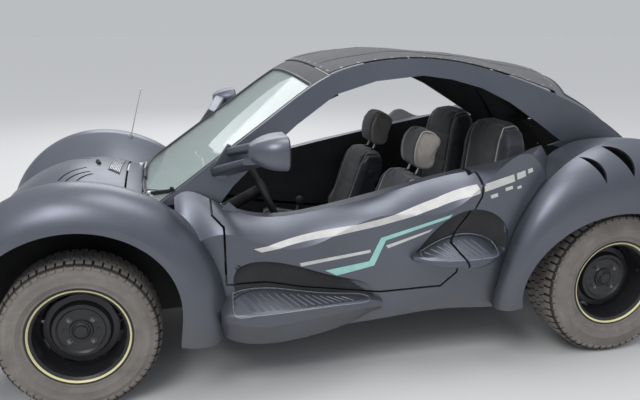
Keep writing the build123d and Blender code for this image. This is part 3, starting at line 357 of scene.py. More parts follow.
# Inner faces of painted panels, finished in black. Columns: nodes, test of a face, finish
LININGS = [
    (("front_fender_left", "front_fender_right", "headlamps"), facing(*FRONT_HOUSING), "liner_black"),
    (("rear_fender_left", "rear_fender_right", "tail_lamps"), facing(*REAR_HOUSING), "liner_black"),
    (("side_arch_left", "side_arch_right", "windshield_frame", "rear_window_frame"), facing(-0.3, 0.0, 0.6),
     "trim_black"),
    (SIDE_PANELS, inside_wall, "trim_black"),
    (("hood", "nose_panel"), facing(1.2, 0.0, 0.4), "liner_black"),
    (("tail_panel", "engine_lid"), facing(-1.2, 0.0, 0.4), "liner_black"),
]


def finish_nodes():
    """Gives every CAD node its slot's material and smooth shading with crisp edges."""
    slot_of = {part["node"]: part["material_slot"] for part in frame["record"]["subparts"]}
    for name, node in nodes.items():
        node.data.materials.clear()
        node.data.materials.append(MATERIALS[slot_of[name]])
        node.data.shade_smooth()
        node.data.set_sharp_from_angle(angle=SHARP_ANGLE)
    for names, inner, slot in LININGS:
        for name in names:
            data = nodes[name].data
            data.materials.append(MATERIALS[slot])
            for face in data.polygons:
                face.material_index = 1 if inner(face.center, face.normal) else 0
    # Faces in the hollows above the foot steps take the black trim finish: painted shade
    for name in SIDE_PANELS:
        for face in nodes[name].data.polygons:
            if in_painted_shade_hollow(face.center, face.normal):
                face.material_index = 1


# Mesh helpers
CABIN_AXIS = Vector((-0.3, 0.0, 0.5))


def mesh_object(name, vertices, faces, material, smooth=35):
    """A mesh object from vertices and faces, smooth up to an angle in degrees."""
    data = bpy.data.meshes.new(name)
    data.from_pydata([tuple(v) for v in vertices], [], faces)
    work = bmesh.new()
    work.from_mesh(data)
    bmesh.ops.recalc_face_normals(work, faces=work.faces)
    work.to_mesh(data)
    work.free()
    data.materials.append(material)
    piece = bpy.data.objects.new(name, data)
    bpy.context.scene.collection.objects.link(piece)
    data.shade_smooth()
    data.set_sharp_from_angle(angle=radians(smooth))
    return piece


class Shape:
    """Collects vertices and faces of many small forms for one mesh."""

    def __init__(self):
        """Starts empty."""
        self.vertices = []
        self.faces = []

    def add(self, vertices, faces):
        """Adds a form's vertices and faces."""
        start = len(self.vertices)
        self.vertices.extend(vertices)
        self.faces.extend([tuple(start + i for i in face) for face in faces])

    def loops(self, loops, close_ends=True, ring=False):
        """Skins a row of equal loops of points; a ring joins the last loop to the first."""
        count = len(loops[0])
        points = [p for loop in loops for p in loop]
        faces = []
        rows = len(loops) if ring else len(loops) - 1
        for r in range(rows):
            s = (r + 1) % len(loops)
            for i in range(count):
                j = (i + 1) % count
                faces.append((r * count + i, r * count + j, s * count + j, s * count + i))
        if close_ends and not ring:
            faces.append(tuple(reversed(range(count))))
            faces.append(tuple((len(loops) - 1) * count + i for i in range(count)))
        self.add(points, faces)

    def grid(self, rows):
        """Joins rows of points into a sheet, leaving out cells with a missing point."""
        index = {}
        points = []
        for r, row in enumerate(rows):
            for c, point in enumerate(row):
                if point is not None:
                    index[r, c] = len(points)
                    points.append(point)
        faces = []
        for r in range(len(rows) - 1):
            for c in range(len(rows[0]) - 1):
                corners = [(r, c), (r, c + 1), (r + 1, c + 1), (r + 1, c)]
                if all(corner in index for corner in corners):
                    faces.append(tuple(index[corner] for corner in corners))
        self.add(points, faces)

    def flip(self):
        """The same shape on the other side of the car."""
        other = Shape()
        other.add([Vector((v[0], -v[1], v[2])) for v in self.vertices], self.faces)
        return other

    def piece(self, name, material, smooth=35):
        """The shape as an object."""
        return mesh_object(name, self.vertices, self.faces, material, smooth)


def fit(shape, name, body, slot, material=None, smooth=35):
    """Makes a shape into a piece that rides on a body, in its slot's finish or in another."""
    piece = shape.piece(name, MATERIALS[material or slot], smooth)
    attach(piece, body)
    return piece


def fit_pair(shape, name, body, slot, material=None, smooth=35):
    """Fits a left-hand shape and its mirror image. {} in the name and the body stands for the side."""
    for side, form in (("left", shape), ("right", shape.flip())):
        fit(form, name.format(side), body.format(side), slot, material, smooth)


def tree_of(*names):
    """A ray-casting tree over CAD nodes at rest."""
    vertices, faces = [], []
    for name in names:
        data = nodes[name].data
        start = len(vertices)
        vertices.extend(v.co.copy() for v in data.vertices)
        faces.extend(tuple(start + i for i in face.vertices) for face in data.polygons)
    return BVHTree.FromPolygons(vertices, faces)


def between(a, b, c, d, t):
    """A point of the smooth curve from b to c, whose neighbours are a and d."""
    return 0.5 * (2 * b + (c - a) * t + (2 * a - 5 * b + 4 * c - d) * t * t
                  + (3 * b - a - 3 * c + d) * t ** 3)


def smooth_path(points, parts=8):
    """A smooth curve through the points."""
    points = [Vector(p) for p in points]
    if len(points) < 3:
        return points
    path = []
    for i in range(len(points) - 1):
        a = points[max(i - 1, 0)]
        b, c = points[i], points[i + 1]
        d = points[min(i + 2, len(points) - 1)]
        path += [between(a, b, c, d, k / parts) for k in range(parts)]
    path.append(points[-1])
    return path


def tube(shape, points, start_r, end_r=None, sides=12):
    """A round rod along a smooth path, from one radius to another."""
    path = smooth_path(points)
    end_r = start_r if end_r is None else end_r
    side = (path[1] - path[0]).orthogonal().normalized()
    loops = []
    for i, p in enumerate(path):
        along = (path[min(i + 1, len(path) - 1)] - path[max(i - 1, 0)]).normalized()
        side = (side - along * side.dot(along)).normalized()
        other = along.cross(side)
        r = start_r + (end_r - start_r) * i / (len(path) - 1)
        loops.append([p + side * (r * cos(2 * pi * k / sides)) + other * (r * sin(2 * pi * k / sides))
                      for k in range(sides)])
    shape.loops(loops)


def turned_on(shape, base, axis, rows, sides=24, turn=0.0):
    """A turned form standing on a point: rows of (radius, height along the axis)."""
    base, axis = Vector(base), Vector(axis).normalized()
    u = axis.orthogonal().normalized()
    v = axis.cross(u)
    loops = []
    for r, height in rows:
        ring = []
        for k in range(sides):
            a = turn + 2 * pi * k / sides
            ring.append(base + axis * height + u * (r * cos(a)) + v * (r * sin(a)))
        loops.append(ring)
    shape.loops(loops)


def rail_length(rail):
    """The length of a row of (point, normal)."""
    return sum((p[0] - q[0]).length for p, q in zip(rail, rail[1:]))


def rim_loops(name, wanted):
    """The closed outlines of a CAD node's wanted faces, longest first, as rows of (point, normal)."""
    data = nodes[name].data
    keys = [tuple(round(c, 4) for c in v.co) for v in data.vertices]
    edges, normals = {}, {}
    for face in data.polygons:
        if not wanted(face.center, face.normal):
            continue
        corners = [keys[i] for i in face.vertices]
        for a, b in zip(corners, corners[1:] + corners[:1]):
            normals[a] = normals.get(a, Vector()) + face.normal * face.area
            if edges.pop((b, a), None) is None:
                edges[a, b] = True
    following = {a: b for a, b in edges}
    loops = []
    while following:
        start = next(iter(following))
        loop, point = [start], following.pop(start)
        while point != start and point in following:
            loop.append(point)
            point = following.pop(point)
        loops.append([(Vector(p), normals[p].normalized()) for p in loop])
    return sorted(loops, key=rail_length, reverse=True)


def evenly(rail, step, closed=True):
    """A rail of (point, normal) at equal steps, its corners a little eased."""
    row = rail + [rail[0]] if closed else rail
    out, left = [], 0.0
    for (p, n), (q, m) in zip(row, row[1:]):
        length = (q - p).length
        while left < length:
            t = left / length
            out.append((p.lerp(q, t), n.lerp(m, t).normalized()))
            left += step
        left -= length
    count = len(out)
    for _ in range(2):
        eased = []
        for i, (p, n) in enumerate(out):
            if not closed and i in (0, count - 1):
                eased.append((p, n))
                continue
            before, after = out[i - 1], out[(i + 1) % count]
            eased.append(((before[0] + p * 2 + after[0]) / 4, (before[1] + n * 2 + after[1]).normalized()))
        out = eased
    return out


def half_round(half_width, height, sink=0.001, parts=7):
    """A half-round section of (across, out) offsets."""
    arc = [(-half_width * cos(pi * k / parts), height * sin(pi * k / parts)) for k in range(parts + 1)]
    return [(-half_width, -sink)] + arc + [(half_width, -sink)]


def bead(shape, rail, section, closed=True):
    """Sweeps a section of (across, out) offsets along a rail of (point, normal)."""
    count = len(rail)
    loops = []
    for i, (p, n) in enumerate(rail):
        before = rail[i - 1][0] if closed or i else p
        after = rail[(i + 1) % count][0] if closed or i < count - 1 else p
        along = (after - before).normalized()
        across = along.cross(n).normalized()
        out = across.cross(along)
        loops.append([p + across * a + out * h for a, h in section])
    shape.loops(loops, ring=closed)


def round_axle(centre, radius, angle, y):
    """A point at a radius and angle round an axle that runs along Y."""
    return Vector((centre.x + radius * cos(angle), y, centre.z + radius * sin(angle)))


# Tyres
TYRE_STEPS = 144
TREAD_DEPTH = 0.009
TREAD_BLOCKS = 56
# Rows of tread blocks: inner edge, outer edge as shares of the half-width, stagger
TREAD_ROWS = [(-0.13, 0.13, 0.0), (0.18, 0.44, 0.5), (-0.44, -0.18, 0.2)]
BLOCK_LENGTH = 0.86
BLOCK_SKEW = 0.9
# Shoulder lugs: depth below the tread, share of the half-width
LUG = [(0.0015, 0.49), (0.0, 0.51), (0.0015, 0.72), (0.007, 0.85), (0.017, 0.945), (0.028, 0.985),
       (0.034, 0.95), (0.022, 0.84)]
LUG_SKEW = 0.15
# Side and stagger; length of every third lug and of the others
LUG_SIDES = [(-1, 0.6), (1, 0.25)]
LUG_LENGTHS = (0.70, 0.80)
# Eased edge of a block: down, across
BLOCK_EDGE = (0.0012, 0.002)
# Faces in painted groove shade: least and greatest depth below the tread, share of the half-width
GROOVE_SHADE_DEPTHS = (TREAD_DEPTH - 0.001, 0.019)
GROOVE_SHADE_WIDTH = 0.9
# Bead: radius, offset from the rim's half-width
TYRE_BEAD = [(0.1915, -0.0158), (0.2085, -0.0085), (0.2092, -0.003), (0.2110, 0.0015), (0.2140, 0.0035),
             (0.2180, 0.0040), (0.2210, 0.0030)]
# Sidewall: radius, share of the half-width
TYRE_WALL = [(0.236, 0.965), (0.2395, 0.985), (0.2425, 0.975), (0.256, 0.998), (0.266, 1.0), (0.2685, 1.012),
             (0.2725, 1.012), (0.2755, 0.994)]
# Shoulder: depth below the tread, share of the half-width
TYRE_SHOULDER = [(0.036, 0.965), (0.026, 0.93), (0.016, 0.86), (TREAD_DEPTH, 0.74), (TREAD_DEPTH, 0.3)]


def tyre_carcass(shape, centre, y, radius, half, rim_half):
    """The casing: beads, sidewalls with raised rings, and the groove floor of the tread."""
    side = [(r, rim_half + offset) for r, offset in TYRE_BEAD]
    side += [(r, share * half) for r, share in TYRE_WALL]
    side += [(radius - depth, share * half) for depth, share in TYRE_SHOULDER]
    profile = [(r, -across) for r, across in side] + [(r, across) for r, across in reversed(side)]
    loops = []
    for step in range(TYRE_STEPS):
        angle = 2 * pi * step / TYRE_STEPS
        loops.append([round_axle(centre, r, angle, y + across) for r, across in profile])
    shape.loops(loops, ring=True)


def tread_block(shape, centre, y, section, start, end, skew):
    """One tread block: a section of (radius, across) points drawn from one angle to another, edges eased."""
    middle = [sum(v) / len(section) for v in zip(*section)]
    loops = []
    for share, shrink in ((0.0, 0.90), (0.05, 1.0), (0.95, 1.0), (1.0, 0.90)):
        loop = []
        for r, across in section:
            r2 = middle[0] + (r - middle[0]) * shrink
            a2 = middle[1] + (across - middle[1]) * shrink
            angle = start + (end - start) * share + skew * a2
            loop.append(round_axle(centre, r2, angle, y + a2))
        loops.append(loop)
    shape.loops(loops)


def tread(shape, centre, y, radius, half):
    """Staggered blocks across the tread and lugs along both shoulders."""
    floor = radius - TREAD_DEPTH - 0.002
    pitch = 2 * pi / TREAD_BLOCKS
    down, across = BLOCK_EDGE
    lug = [(floor, 0.49)] + [(radius - depth, share) for depth, share in LUG] + [(floor, 0.70)]
    for i in range(TREAD_BLOCKS):
        for inner, outer, stagger in TREAD_ROWS:
            low, high = inner * half, outer * half
            section = [(floor, low), (radius - down, low), (radius, low + across), (radius, high - across),
                       (radius - down, high), (floor, high)]
            begin = i * pitch + stagger * pitch
            tread_block(shape, centre, y, section, begin, begin + BLOCK_LENGTH * pitch, BLOCK_SKEW)
        for sign, stagger in LUG_SIDES:
            section = [(r, sign * share * half) for r, share in lug]
            begin = i * pitch + stagger * pitch
            length = LUG_LENGTHS[1 if i % 3 else 0]
            tread_block(shape, centre, y, section, begin, begin + length * pitch, LUG_SKEW)


def tyre(place, centre, y, radius, width, rim_half):
    """A road tyre with a block tread, with painted shade in its grooves."""
    shape = Shape()
    half = width / 2
    tyre_carcass(shape, centre, y, radius, half, rim_half)
    tread(shape, centre, y, radius, half)
    piece = fit(shape, f"tyre_{place}_tread", f"wheel_{place}", "tyre_rubber", smooth=30)
    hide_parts(f"tyre_{place}")
    piece.data.materials.append(MATERIALS["groove_dark"])
    # Faces on the groove floors take the near-black finish: painted shade in the grooves
    for face in piece.data.polygons:
        depth = radius - Vector((face.center.x - centre.x, face.center.z - centre.z)).length
        if GROOVE_SHADE_DEPTHS[0] < depth < GROOVE_SHADE_DEPTHS[1] and abs(face.center.y - y) < GROOVE_SHADE_WIDTH * half:
            face.material_index = 1


# Wheel trim. Rows: radius, height
LINE_ROWS = [(0.2015, 0.0004), (0.2002, 0.0012), (0.1975, -0.0012), (0.1945, -0.0036), (0.1935, -0.0048)]
NUT_RING = 0.066
NUT_TURN = 0.06
NUT_FOOT = [(0.0125, 0.0), (0.0125, 0.002)]
NUT_ROWS = [(0.0098, 0.0025), (0.0098, 0.013), (0.0072, 0.0155), (0.004, 0.0160)]
CAP_ROWS = [(0.037, 0.0), (0.0375, 0.004), (0.035, 0.009), (0.029, 0.012), (0.027, 0.0115), (0.024, 0.018),
            (0.010, 0.021), (0.003, 0.0213)]
DIMPLE_ROWS = [(0.012, 0.0), (0.0115, 0.0012), (0.0095, 0.0012), (0.0085, 0.0004), (0.002, 0.0003)]
DISC_OUT = 0.0168
CAP_OUT = 0.0165
VALVE_TURN = 2.9
VALVE = [(0.178, 0.040), (0.168, 0.046), (0.156, 0.060)]


def annulus(shape, centre, rows, steps=96):
    """A thin ring skinned through rows of (radius, y)."""
    grid = []
    for step in range(steps + 1):
        angle = 2 * pi * step / steps
        grid.append([round_axle(centre, r, angle, y) for r, y in rows])
    shape.grid(grid)


def wheel_trim(place, centre, y, rim_half, side):
    """The pale line round the rim's flange, the wheel nuts, the hub cap's rings and the valve."""
    body = f"wheel_{place}"
    axis = Vector((0, side, 0))
    disc = y + side * DISC_OUT
    line, nuts, cap = Shape(), Shape(), Shape()
    annulus(line, centre, [(r, y + side * (rim_half + offset)) for r, offset in LINE_ROWS])
    fit(line, f"{body}_line", body, "wheel_black", "yellow_line")
    for k in range(4):
        foot = round_axle(centre, NUT_RING, pi / 4 + k * pi / 2 + NUT_TURN, disc)
        turned_on(nuts, foot, axis, NUT_FOOT, 20)
        turned_on(nuts, foot, axis, NUT_ROWS, 6, 0.3 * k)
    fit(nuts, f"{body}_nuts", body, "cast_metal", smooth=25)
    turned_on(cap, round_axle(centre, 0.0, 0.0, y + side * CAP_OUT), axis, CAP_ROWS, 36)
    for k in (0, 1):
        turned_on(cap, round_axle(centre, NUT_RING, k * pi + NUT_TURN, disc), axis, DIMPLE_ROWS, 20)
    tube(cap, [round_axle(centre, r, VALVE_TURN, y + side * out) for r, out in VALVE], 0.0045, 0.0038)
    fit(cap, f"{body}_cap", body, "trim_black", smooth=40)


# Columns: place, axle centre, middle plane, tyre radius, tyre width, half the rim's width, side of the car
WHEELS = [
    ("front_left", FRONT_AXLE, FRONT_WHEEL_Y, 0.322, 0.205, 0.085, 1),
    ("front_right", FRONT_AXLE, -FRONT_WHEEL_Y, 0.322, 0.205, 0.085, -1),
    ("rear_left", REAR_AXLE, REAR_WHEEL_Y, 0.348, 0.235, 0.098, 1),
    ("rear_right", REAR_AXLE, -REAR_WHEEL_Y, 0.348, 0.235, 0.098, -1),
]


def wheels():
    """Tyre and trim of every wheel, on the wheel's own body."""
    for place, centre, y, radius, width, rim_half, side in WHEELS:
        tyre(place, centre, y, radius, width, rim_half)
        wheel_trim(place, centre, y, rim_half, side)


# Seals, wipers and small trim on the body. A face looks outward by a weight of its place across the car
# and by a least cosine
ACROSS_SHARE = 0.35
AWAY_LEAST = 0.45


def outward(centre, normal):
    """Tells whether a face looks away from the cabin's axis."""
    away = centre - CABIN_AXIS
    away.y *= ACROSS_SHARE
    return normal.dot(away.normalized()) > AWAY_LEAST


# Seals: half-widths, and how far the seal and its bright line stand off
SEALS = [("windshield", 0.011), ("rear_window", 0.010)]
SEAL_LIFT = 0.0015
SEAL_LINE_LIFT = 0.0067


def glass_seals():
    """A black rubber seal with a fine bright insert round the windshield and the rear window."""
    for name, half in SEALS:
        rail = evenly(rim_loops(name, outward)[0], 0.012)
        raised = [(p + n * SEAL_LIFT, n) for p, n in rail]
        seal = Shape()
        bead(seal, raised, half_round(half, 0.0075, 0.004))
        fit(seal, f"{name}_seal", "chassis", "seal_rubber")
        line = Shape()
        bead(line, [(p + n * SEAL_LINE_LIFT, n) for p, n in raised], half_round(0.0014, 0.0012))
        fit(line, f"{name}_seal_line", "chassis", "seal_rubber", "seal_line")


DOWN = Vector((0, 0, -1))
ABOVE_ALL = 2.0


def dropped(tree, x, y, height=0.0):
    """The point over a surface at a plan position, with its normal, or nothing beside the surface."""
    p, n, _, _ = tree.ray_cast(Vector((x, y, ABOVE_ALL)), DOWN)
    return (None, None) if p is None else (p + n * height, n)


# Wipers. Columns: pivot (x, y), blade ends (x, y)
WIPERS = [
    ((0.915, 0.36), (0.885, 0.43), (0.795, 0.575)),
    ((0.955, -0.30), (0.925, -0.24), (0.920, 0.10)),
]
# Heights over the glass
KNEE_HEIGHT = 0.030
TIP_HEIGHT = 0.022
BLADE_HEIGHT = 0.011
WIPER_FOOT = [(0.020, 0.0), (0.020, 0.008), (0.017, 0.011), (0.010, 0.013), (0.009, 0.020), (0.003, 0.021)]
WIPER_BLADE = [(-0.0015, -0.010), (-0.0045, 0.0), (-0.0045, 0.006), (0.0, 0.011), (0.0045, 0.006),
               (0.0045, 0.0), (0.0015, -0.010)]


def wipers(tree):
    """Two wipers at rest along the foot of the windshield."""
    arms, blades = Shape(), Shape()
    for pivot, near, far in WIPERS:
        base, normal = dropped(tree, *pivot, -0.002)
        turned_on(arms, base, normal, WIPER_FOOT)
        middle = ((near[0] + far[0]) / 2, (near[1] + far[1]) / 2)
        third = ((pivot[0] * 2 + middle[0]) / 3, (pivot[1] * 2 + middle[1]) / 3)
        knee = dropped(tree, *third, KNEE_HEIGHT)[0]
        tip = dropped(tree, *middle, TIP_HEIGHT)[0]
        tube(arms, [base + normal * 0.015, knee, tip], 0.0055, 0.0042)
        rail = []
        for k in range(25):
            t = k / 24
            x, y = near[0] + (far[0] - near[0]) * t, near[1] + (far[1] - near[1]) * t
            rail.append(dropped(tree, x, y, BLADE_HEIGHT))
        bead(blades, rail, WIPER_BLADE, closed=False)
    fit(arms, "wiper_arms", "chassis", "cast_metal", "bright_metal")
    fit(blades, "wiper_blades", "chassis", "seal_rubber")


# Washer nozzles (x, y), and the aerial's foot and rise
NOZZLES = [(1.149, 0.0), (1.141, 0.035)]
NOZZLE_ROWS = [(0.011, 0.0), (0.011, 0.004), (0.008, 0.010), (0.0075, 0.014), (0.003, 0.015)]
AERIAL_FOOT = (1.02, -0.615)
AERIAL_RISE = Vector((-0.075, 0.01, 0.27))
AERIAL_BASE = [(0.014, 0.0), (0.013, 0.006), (0.007, 0.014), (0.004, 0.022)]
AERIAL_TIP = [(0.003, -0.004), (0.005, 0.0), (0.0035, 0.004), (0.001, 0.0052)]


def washer_nozzles(tree):
    """Two nozzles on the hood."""
    nozzles = Shape()
    for x, y in NOZZLES:
        turned_on(nozzles, *dropped(tree, x, y, -0.001), NOZZLE_ROWS, 18)
    fit(nozzles, "washer_nozzles", "hood", "trim_black")


def aerial():
    """A thin whip on the right fender."""
    whip = Shape()
    p, n = dropped(tree_of("front_fender_right", "windshield_frame"), *AERIAL_FOOT)
    turned_on(whip, p - n * 0.002, n, AERIAL_BASE, 18)
    top = p + AERIAL_RISE
    tube(whip, [p + n * 0.018, p.lerp(top, 0.5), top], 0.0032, 0.0016)
    turned_on(whip, top, AERIAL_RISE, AERIAL_TIP, 12)
    fit(whip, "aerial", "chassis", "cast_metal", "bright_metal")


# Cowl grille: a slatted plate on the hood's rear edge. Corners (x, y) from the front left round
GRILLE = [(1.094, 0.124), (1.080, -0.140), (1.028, -0.170), (1.040, 0.160)]
SLAT = [(-0.0022, 0.0), (-0.0012, 0.0045), (0.0020, 0.0048), (0.0022, 0.0)]


def grille_row(share, first, last):
    """Plan positions across the grille at a share of its depth, from one of 24 steps to another."""
    front_left, front_right, rear_right, rear_left = [Vector(corner) for corner in GRILLE]
    a, b = front_left.lerp(rear_left, share), front_right.lerp(rear_right, share)
    return [a.lerp(b, k / 24) for k in range(first, last + 1)]


def cowl_grille(tree):
    """A low slatted air grille on the hood's rear edge."""
    plate, slats = Shape(), Shape()
    plate.grid([[dropped(tree, x, y, 0.002)[0] for x, y in grille_row(i / 8, 0, 24)] for i in range(9)])
    for i in range(1, 8):
        bead(slats, [dropped(tree, x, y, 0.002) for x, y in grille_row(i / 8, 1, 23)], SLAT, closed=False)
    fit(plate, "cowl_grille_plate", "hood", "trim_black")
    fit(slats, "cowl_grille_slats", "hood", "cast_metal", "bright_metal")


# Mirrors: middle of the left shell's open face; half-width, half-height and corner radius of the glass
MIRROR_FACE = (0.3895, 0.925, 1.075)
MIRROR_HALF = (0.093, 0.057, 0.044)
# Rings of the slightly bulged glass: share of the outline, how far back
MIRROR_RINGS = [(1.0, 0.0), (0.75, 0.0012), (0.5, 0.0022), (0.25, 0.0028), (0.02, 0.003)]


def rounded(half_width, half_height, corner, parts=8):
    """The outline of a rounded rectangle, as (across, up)."""
    outline = []
    for k, (sx, sy) in enumerate(((1, 1), (-1, 1), (-1, -1), (1, -1))):
        for i in range(parts + 1):
            a = k * pi / 2 + i * pi / 2 / parts
            across = sx * (half_width - corner) + corner * cos(a)
            outline.append((across, sy * (half_height - corner) + corner * sin(a)))
    return outline


def mirrors():
    """Mirror glass in a black surround at the back of each shell."""
    x, y, z = MIRROR_FACE
    outline = rounded(*MIRROR_HALF)
    glass, surround = Shape(), Shape()
    glass.loops([[Vector((x - back, y + share * a, z + share * b)) for a, b in outline]
                 for share, back in MIRROR_RINGS])
    rail = [(Vector((x, y + a, z + b)), Vector((-1, 0, 0))) for a, b in outline]
    bead(surround, rail, half_round(0.005, 0.006, 0.003))
    for side, pane, edge in (("left", glass, surround), ("right", glass.flip(), surround.flip())):
        fit(pane, f"mirror_{side}_glass", "chassis", "mirror_plastic", "mirror_glass")
        fit(edge, f"mirror_{side}_surround", "chassis", "trim_black")


# Painted bands on the sides, each a row of edge pairs (x, z), (x, z)
BANDS_WHITE = [
    [((0.497, 0.647), (0.465, 0.630)), ((0.307, 0.681), (0.307, 0.657)), ((0.094, 0.720), (0.094, 0.692)),
     ((-0.036, 0.743), (-0.037, 0.712)), ((-0.303, 0.803), (-0.305, 0.768)),
     ((-0.482, 0.860), (-0.492, 0.824))],
    [((0.306, 0.567), (0.298, 0.551)), ((-0.002, 0.604), (-0.002, 0.590))],
    [((-0.070, 0.617), (-0.081, 0.603)), ((-0.284, 0.675), (-0.266, 0.661))],
    [((-0.492, 0.862), (-0.500, 0.826)), ((-0.640, 0.903), (-0.650, 0.870))],
    [((-0.652, 0.906), (-0.661, 0.876)), ((-0.694, 0.917), (-0.702, 0.890))],
    [((-0.706, 0.920), (-0.712, 0.900)), ((-0.730, 0.926), (-0.736, 0.908))],
    [((-0.540, 0.812), (-0.546, 0.796)), ((-0.572, 0.821), (-0.578, 0.805))],
    [((-0.606, 0.842), (-0.611, 0.827)), ((-0.640, 0.851), (-0.645, 0.836))],
    [((-0.664, 0.844), (-0.668, 0.832)), ((-0.684, 0.850), (-0.688, 0.838))],
]
BANDS_GREEN = [
    [((0.195, 0.522), (0.142, 0.494)), ((0.001, 0.550), (-0.022, 0.527)), ((-0.045, 0.655), (-0.068, 0.641)),
     ((-0.370, 0.736), (-0.357, 0.719))],
]
BAND_STEP = 0.006
BAND_LIFT = 0.0010
# Where rays towards a side start, and how far a face has to look outward to carry a band
BESIDE = 1.2
OUTWARD_LEAST = 0.12
INWARD = Vector((0, -1, 0))
# Panels of one side. Columns: key, the other key, body of its pieces
PANELS = [("door", "side", "door_{}"), ("side", "door", "chassis")]


def band_rows(pairs):
    """Rows of (x, z) across a band, from its first pair of edge points to its last."""
    rows = []
    pairs = [(Vector(top), Vector(low)) for top, low in pairs]
    for (a, b), (c, d) in zip(pairs, pairs[1:]):
        parts = max(2, int((c - a).length / BAND_STEP))
        last = 1 if (c, d) == pairs[-1] else 0
        for k in range(parts + last):
            top, low = a.lerp(c, k / parts), b.lerp(d, k / parts)
            rows.append([top.lerp(low, j / 8) for j in range(9)])
    return rows


def on_panel(q, mine, other):
    """A band's point on one panel, or nothing where the panel turns away or the other one covers it."""
    start = Vector((q.x, BESIDE, q.y))
    p, n, _, far = mine.ray_cast(start, INWARD)
    beside = other.ray_cast(start, INWARD)[3]
    if p is None or n.y < OUTWARD_LEAST or (beside is not None and beside < far):
        return None
    return p + n * BAND_LIFT


def side_bands(trees):
    """Lays the bands on the door and the body side, each on its own body, on both sides of the car."""
    for finish, bands in (("band_white", BANDS_WHITE), ("band_green", BANDS_GREEN)):
        for key, other, body in PANELS:
            shape = Shape()
            for pairs in bands:
                rows = band_rows(pairs)
                shape.grid([[on_panel(q, trees[key], trees[other]) for q in row] for row in rows])
            if shape.faces:
                fit_pair(shape, f"{finish}_{key}_{{}}", body, "body_paint", finish, 60)


# Soft roof: crest line of the side arches as (angle, y) round the cabin's axis
CREST = [(54, 0.558), (64, 0.549), (80, 0.539), (96, 0.532), (112, 0.522), (129, 0.502), (146, 0.476)]
ROOF_SPAN = (62.7, 134.3)
ROOF_BOWS = [62.7, 87.0, 111.0, 134.3]
ROOF_SAG = 0.006
ROOF_STEPS = 120
ROOF_ACROSS = 96
# From the arches' crest to the cloth; length of one degree at the cloth's front and rear edge
ROOF_INSET = 0.0165
FRONT_ARC = 0.0165
REAR_ARC = 0.018
HEM = 0.024
HEM_RISE = 0.0012
# Creases. Columns: scale along x, scale along y, where in the noise, height. They fade out at the edges
CREASES = [(7, 16, 3.1, 0.0011), (22, 9, 8.0, 0.0006)]
CREASE_FADE = 0.04
SEAM = [(-0.009, -0.001), (-0.0085, 0.0012), (-0.001, 0.0014), (0.0, 0.0006), (0.001, 0.0014),
        (0.0085, 0.0012), (0.009, -0.001)]
SNAP_ROWS = [(0.0075, 0.0), (0.0072, 0.0014), (0.005, 0.0028), (0.0015, 0.0032)]
# Places across the cloth as shares of its half-width; snaps stand in from the ends by degrees
SEAM_SHARES = (-0.52, 0.52)
SNAP_SHARES = (-0.975, 0.975)
SNAP_IN = 0.7
SNAPS_ALONG = 14
BOW_SHARES = (-0.97, -0.6, -0.3, 0, 0.3, 0.6, 0.97)
BOW_DEPTH = 0.0195
BOW_RADIUS = 0.0085


def crest_y(angle):
    """Half the roof's width at an angle."""
    for (a, ya), (b, yb) in zip(CREST, CREST[1:]):
        if a <= angle <= b:
            return ya + (yb - ya) * (angle - a) / (b - a)
    return CREST[-1][1]


def roof_point(tree, angle, share, lift=0.0):
    """A point on the roof's outside at an angle and a share of the half-width, with its normal."""
    direction = Vector((cos(radians(angle)), 0, sin(radians(angle))))
    y = share * (crest_y(angle) - ROOF_INSET)
    p, n, _, _ = tree.ray_cast(CABIN_AXIS + Vector((0, y, 0)) + direction * 2.0, -direction)
    return p + n * lift, n


def roof_sag(angle, share):
    """How far the cloth hangs between its bows, less towards its edges."""
    for a, b in zip(ROOF_BOWS, ROOF_BOWS[1:]):
        if a <= angle <= b:
            return ROOF_SAG * sin(pi * (angle - a) / (b - a)) ** 2 * (1 - share ** 4)
    return 0.0


def roof_rows(tree):
    """The cloth's points, front to rear: doubled at the hems, hanging between the bows, lightly creased."""
    first, last = ROOF_SPAN
    rows = []
    for i in range(ROOF_STEPS + 1):
        angle = first + (last - first) * i / ROOF_STEPS
        row = []
        for k in range(ROOF_ACROSS + 1):
            share = 2 * k / ROOF_ACROSS - 1
            p, n = roof_point(tree, angle, share)
            edge = min((1 - abs(share)) * crest_y(angle),
                       (angle - first) * FRONT_ARC, (last - angle) * REAR_ARC)
            height = (HEM_RISE if edge < HEM else 0) - roof_sag(angle, share)
            crease = sum(field.noise(Vector((p.x * u, p.y * v, w))) * high for u, v, w, high in CREASES)
            row.append(p + n * (height + crease * min(1.0, edge / CREASE_FADE)))
        rows.append(row)
    return rows


def roof_seams(tree):
    """Two flat-felled seams along the cloth."""
    first, last = ROOF_SPAN
    seams = Shape()
    for share in SEAM_SHARES:
        rail = []
        for i in range(ROOF_STEPS + 1):
            angle = first + (last - first) * i / ROOF_STEPS
            p, n = roof_point(tree, angle, share)
            rail.append((p - n * (roof_sag(angle, share) - 0.0002), n))
        bead(seams, rail, SEAM, closed=False)
    fit(seams, "roof_seams", "chassis", "roof_cloth", smooth=60)


def roof_snaps(tree):
    """Snap fasteners, ten along each end and fourteen along each side."""
    first, last = ROOF_SPAN
    snaps = Shape()
    places = [(end, -0.9 + 1.8 * k / 9) for end in (first + SNAP_IN, last - SNAP_IN) for k in range(10)]
    length = last - first - 8
    for k in range(SNAPS_ALONG):
        places += [(first + 4 + length * k / (SNAPS_ALONG - 1), share) for share in SNAP_SHARES]
    for angle, share in places:
        turned_on(snaps, *roof_point(tree, angle, share, 0.0008), SNAP_ROWS, 14)
    fit(snaps, "roof_snaps", "chassis", "cast_metal", "snap_metal")


def roof_bows(tree):
    """Two round bows under the cloth."""
    bows = Shape()
    for angle in ROOF_BOWS[1:-1]:
        tube(bows, [roof_point(tree, angle, share, -BOW_DEPTH)[0] for share in BOW_SHARES], BOW_RADIUS)
    fit(bows, "roof_bows", "chassis", "chassis_black")


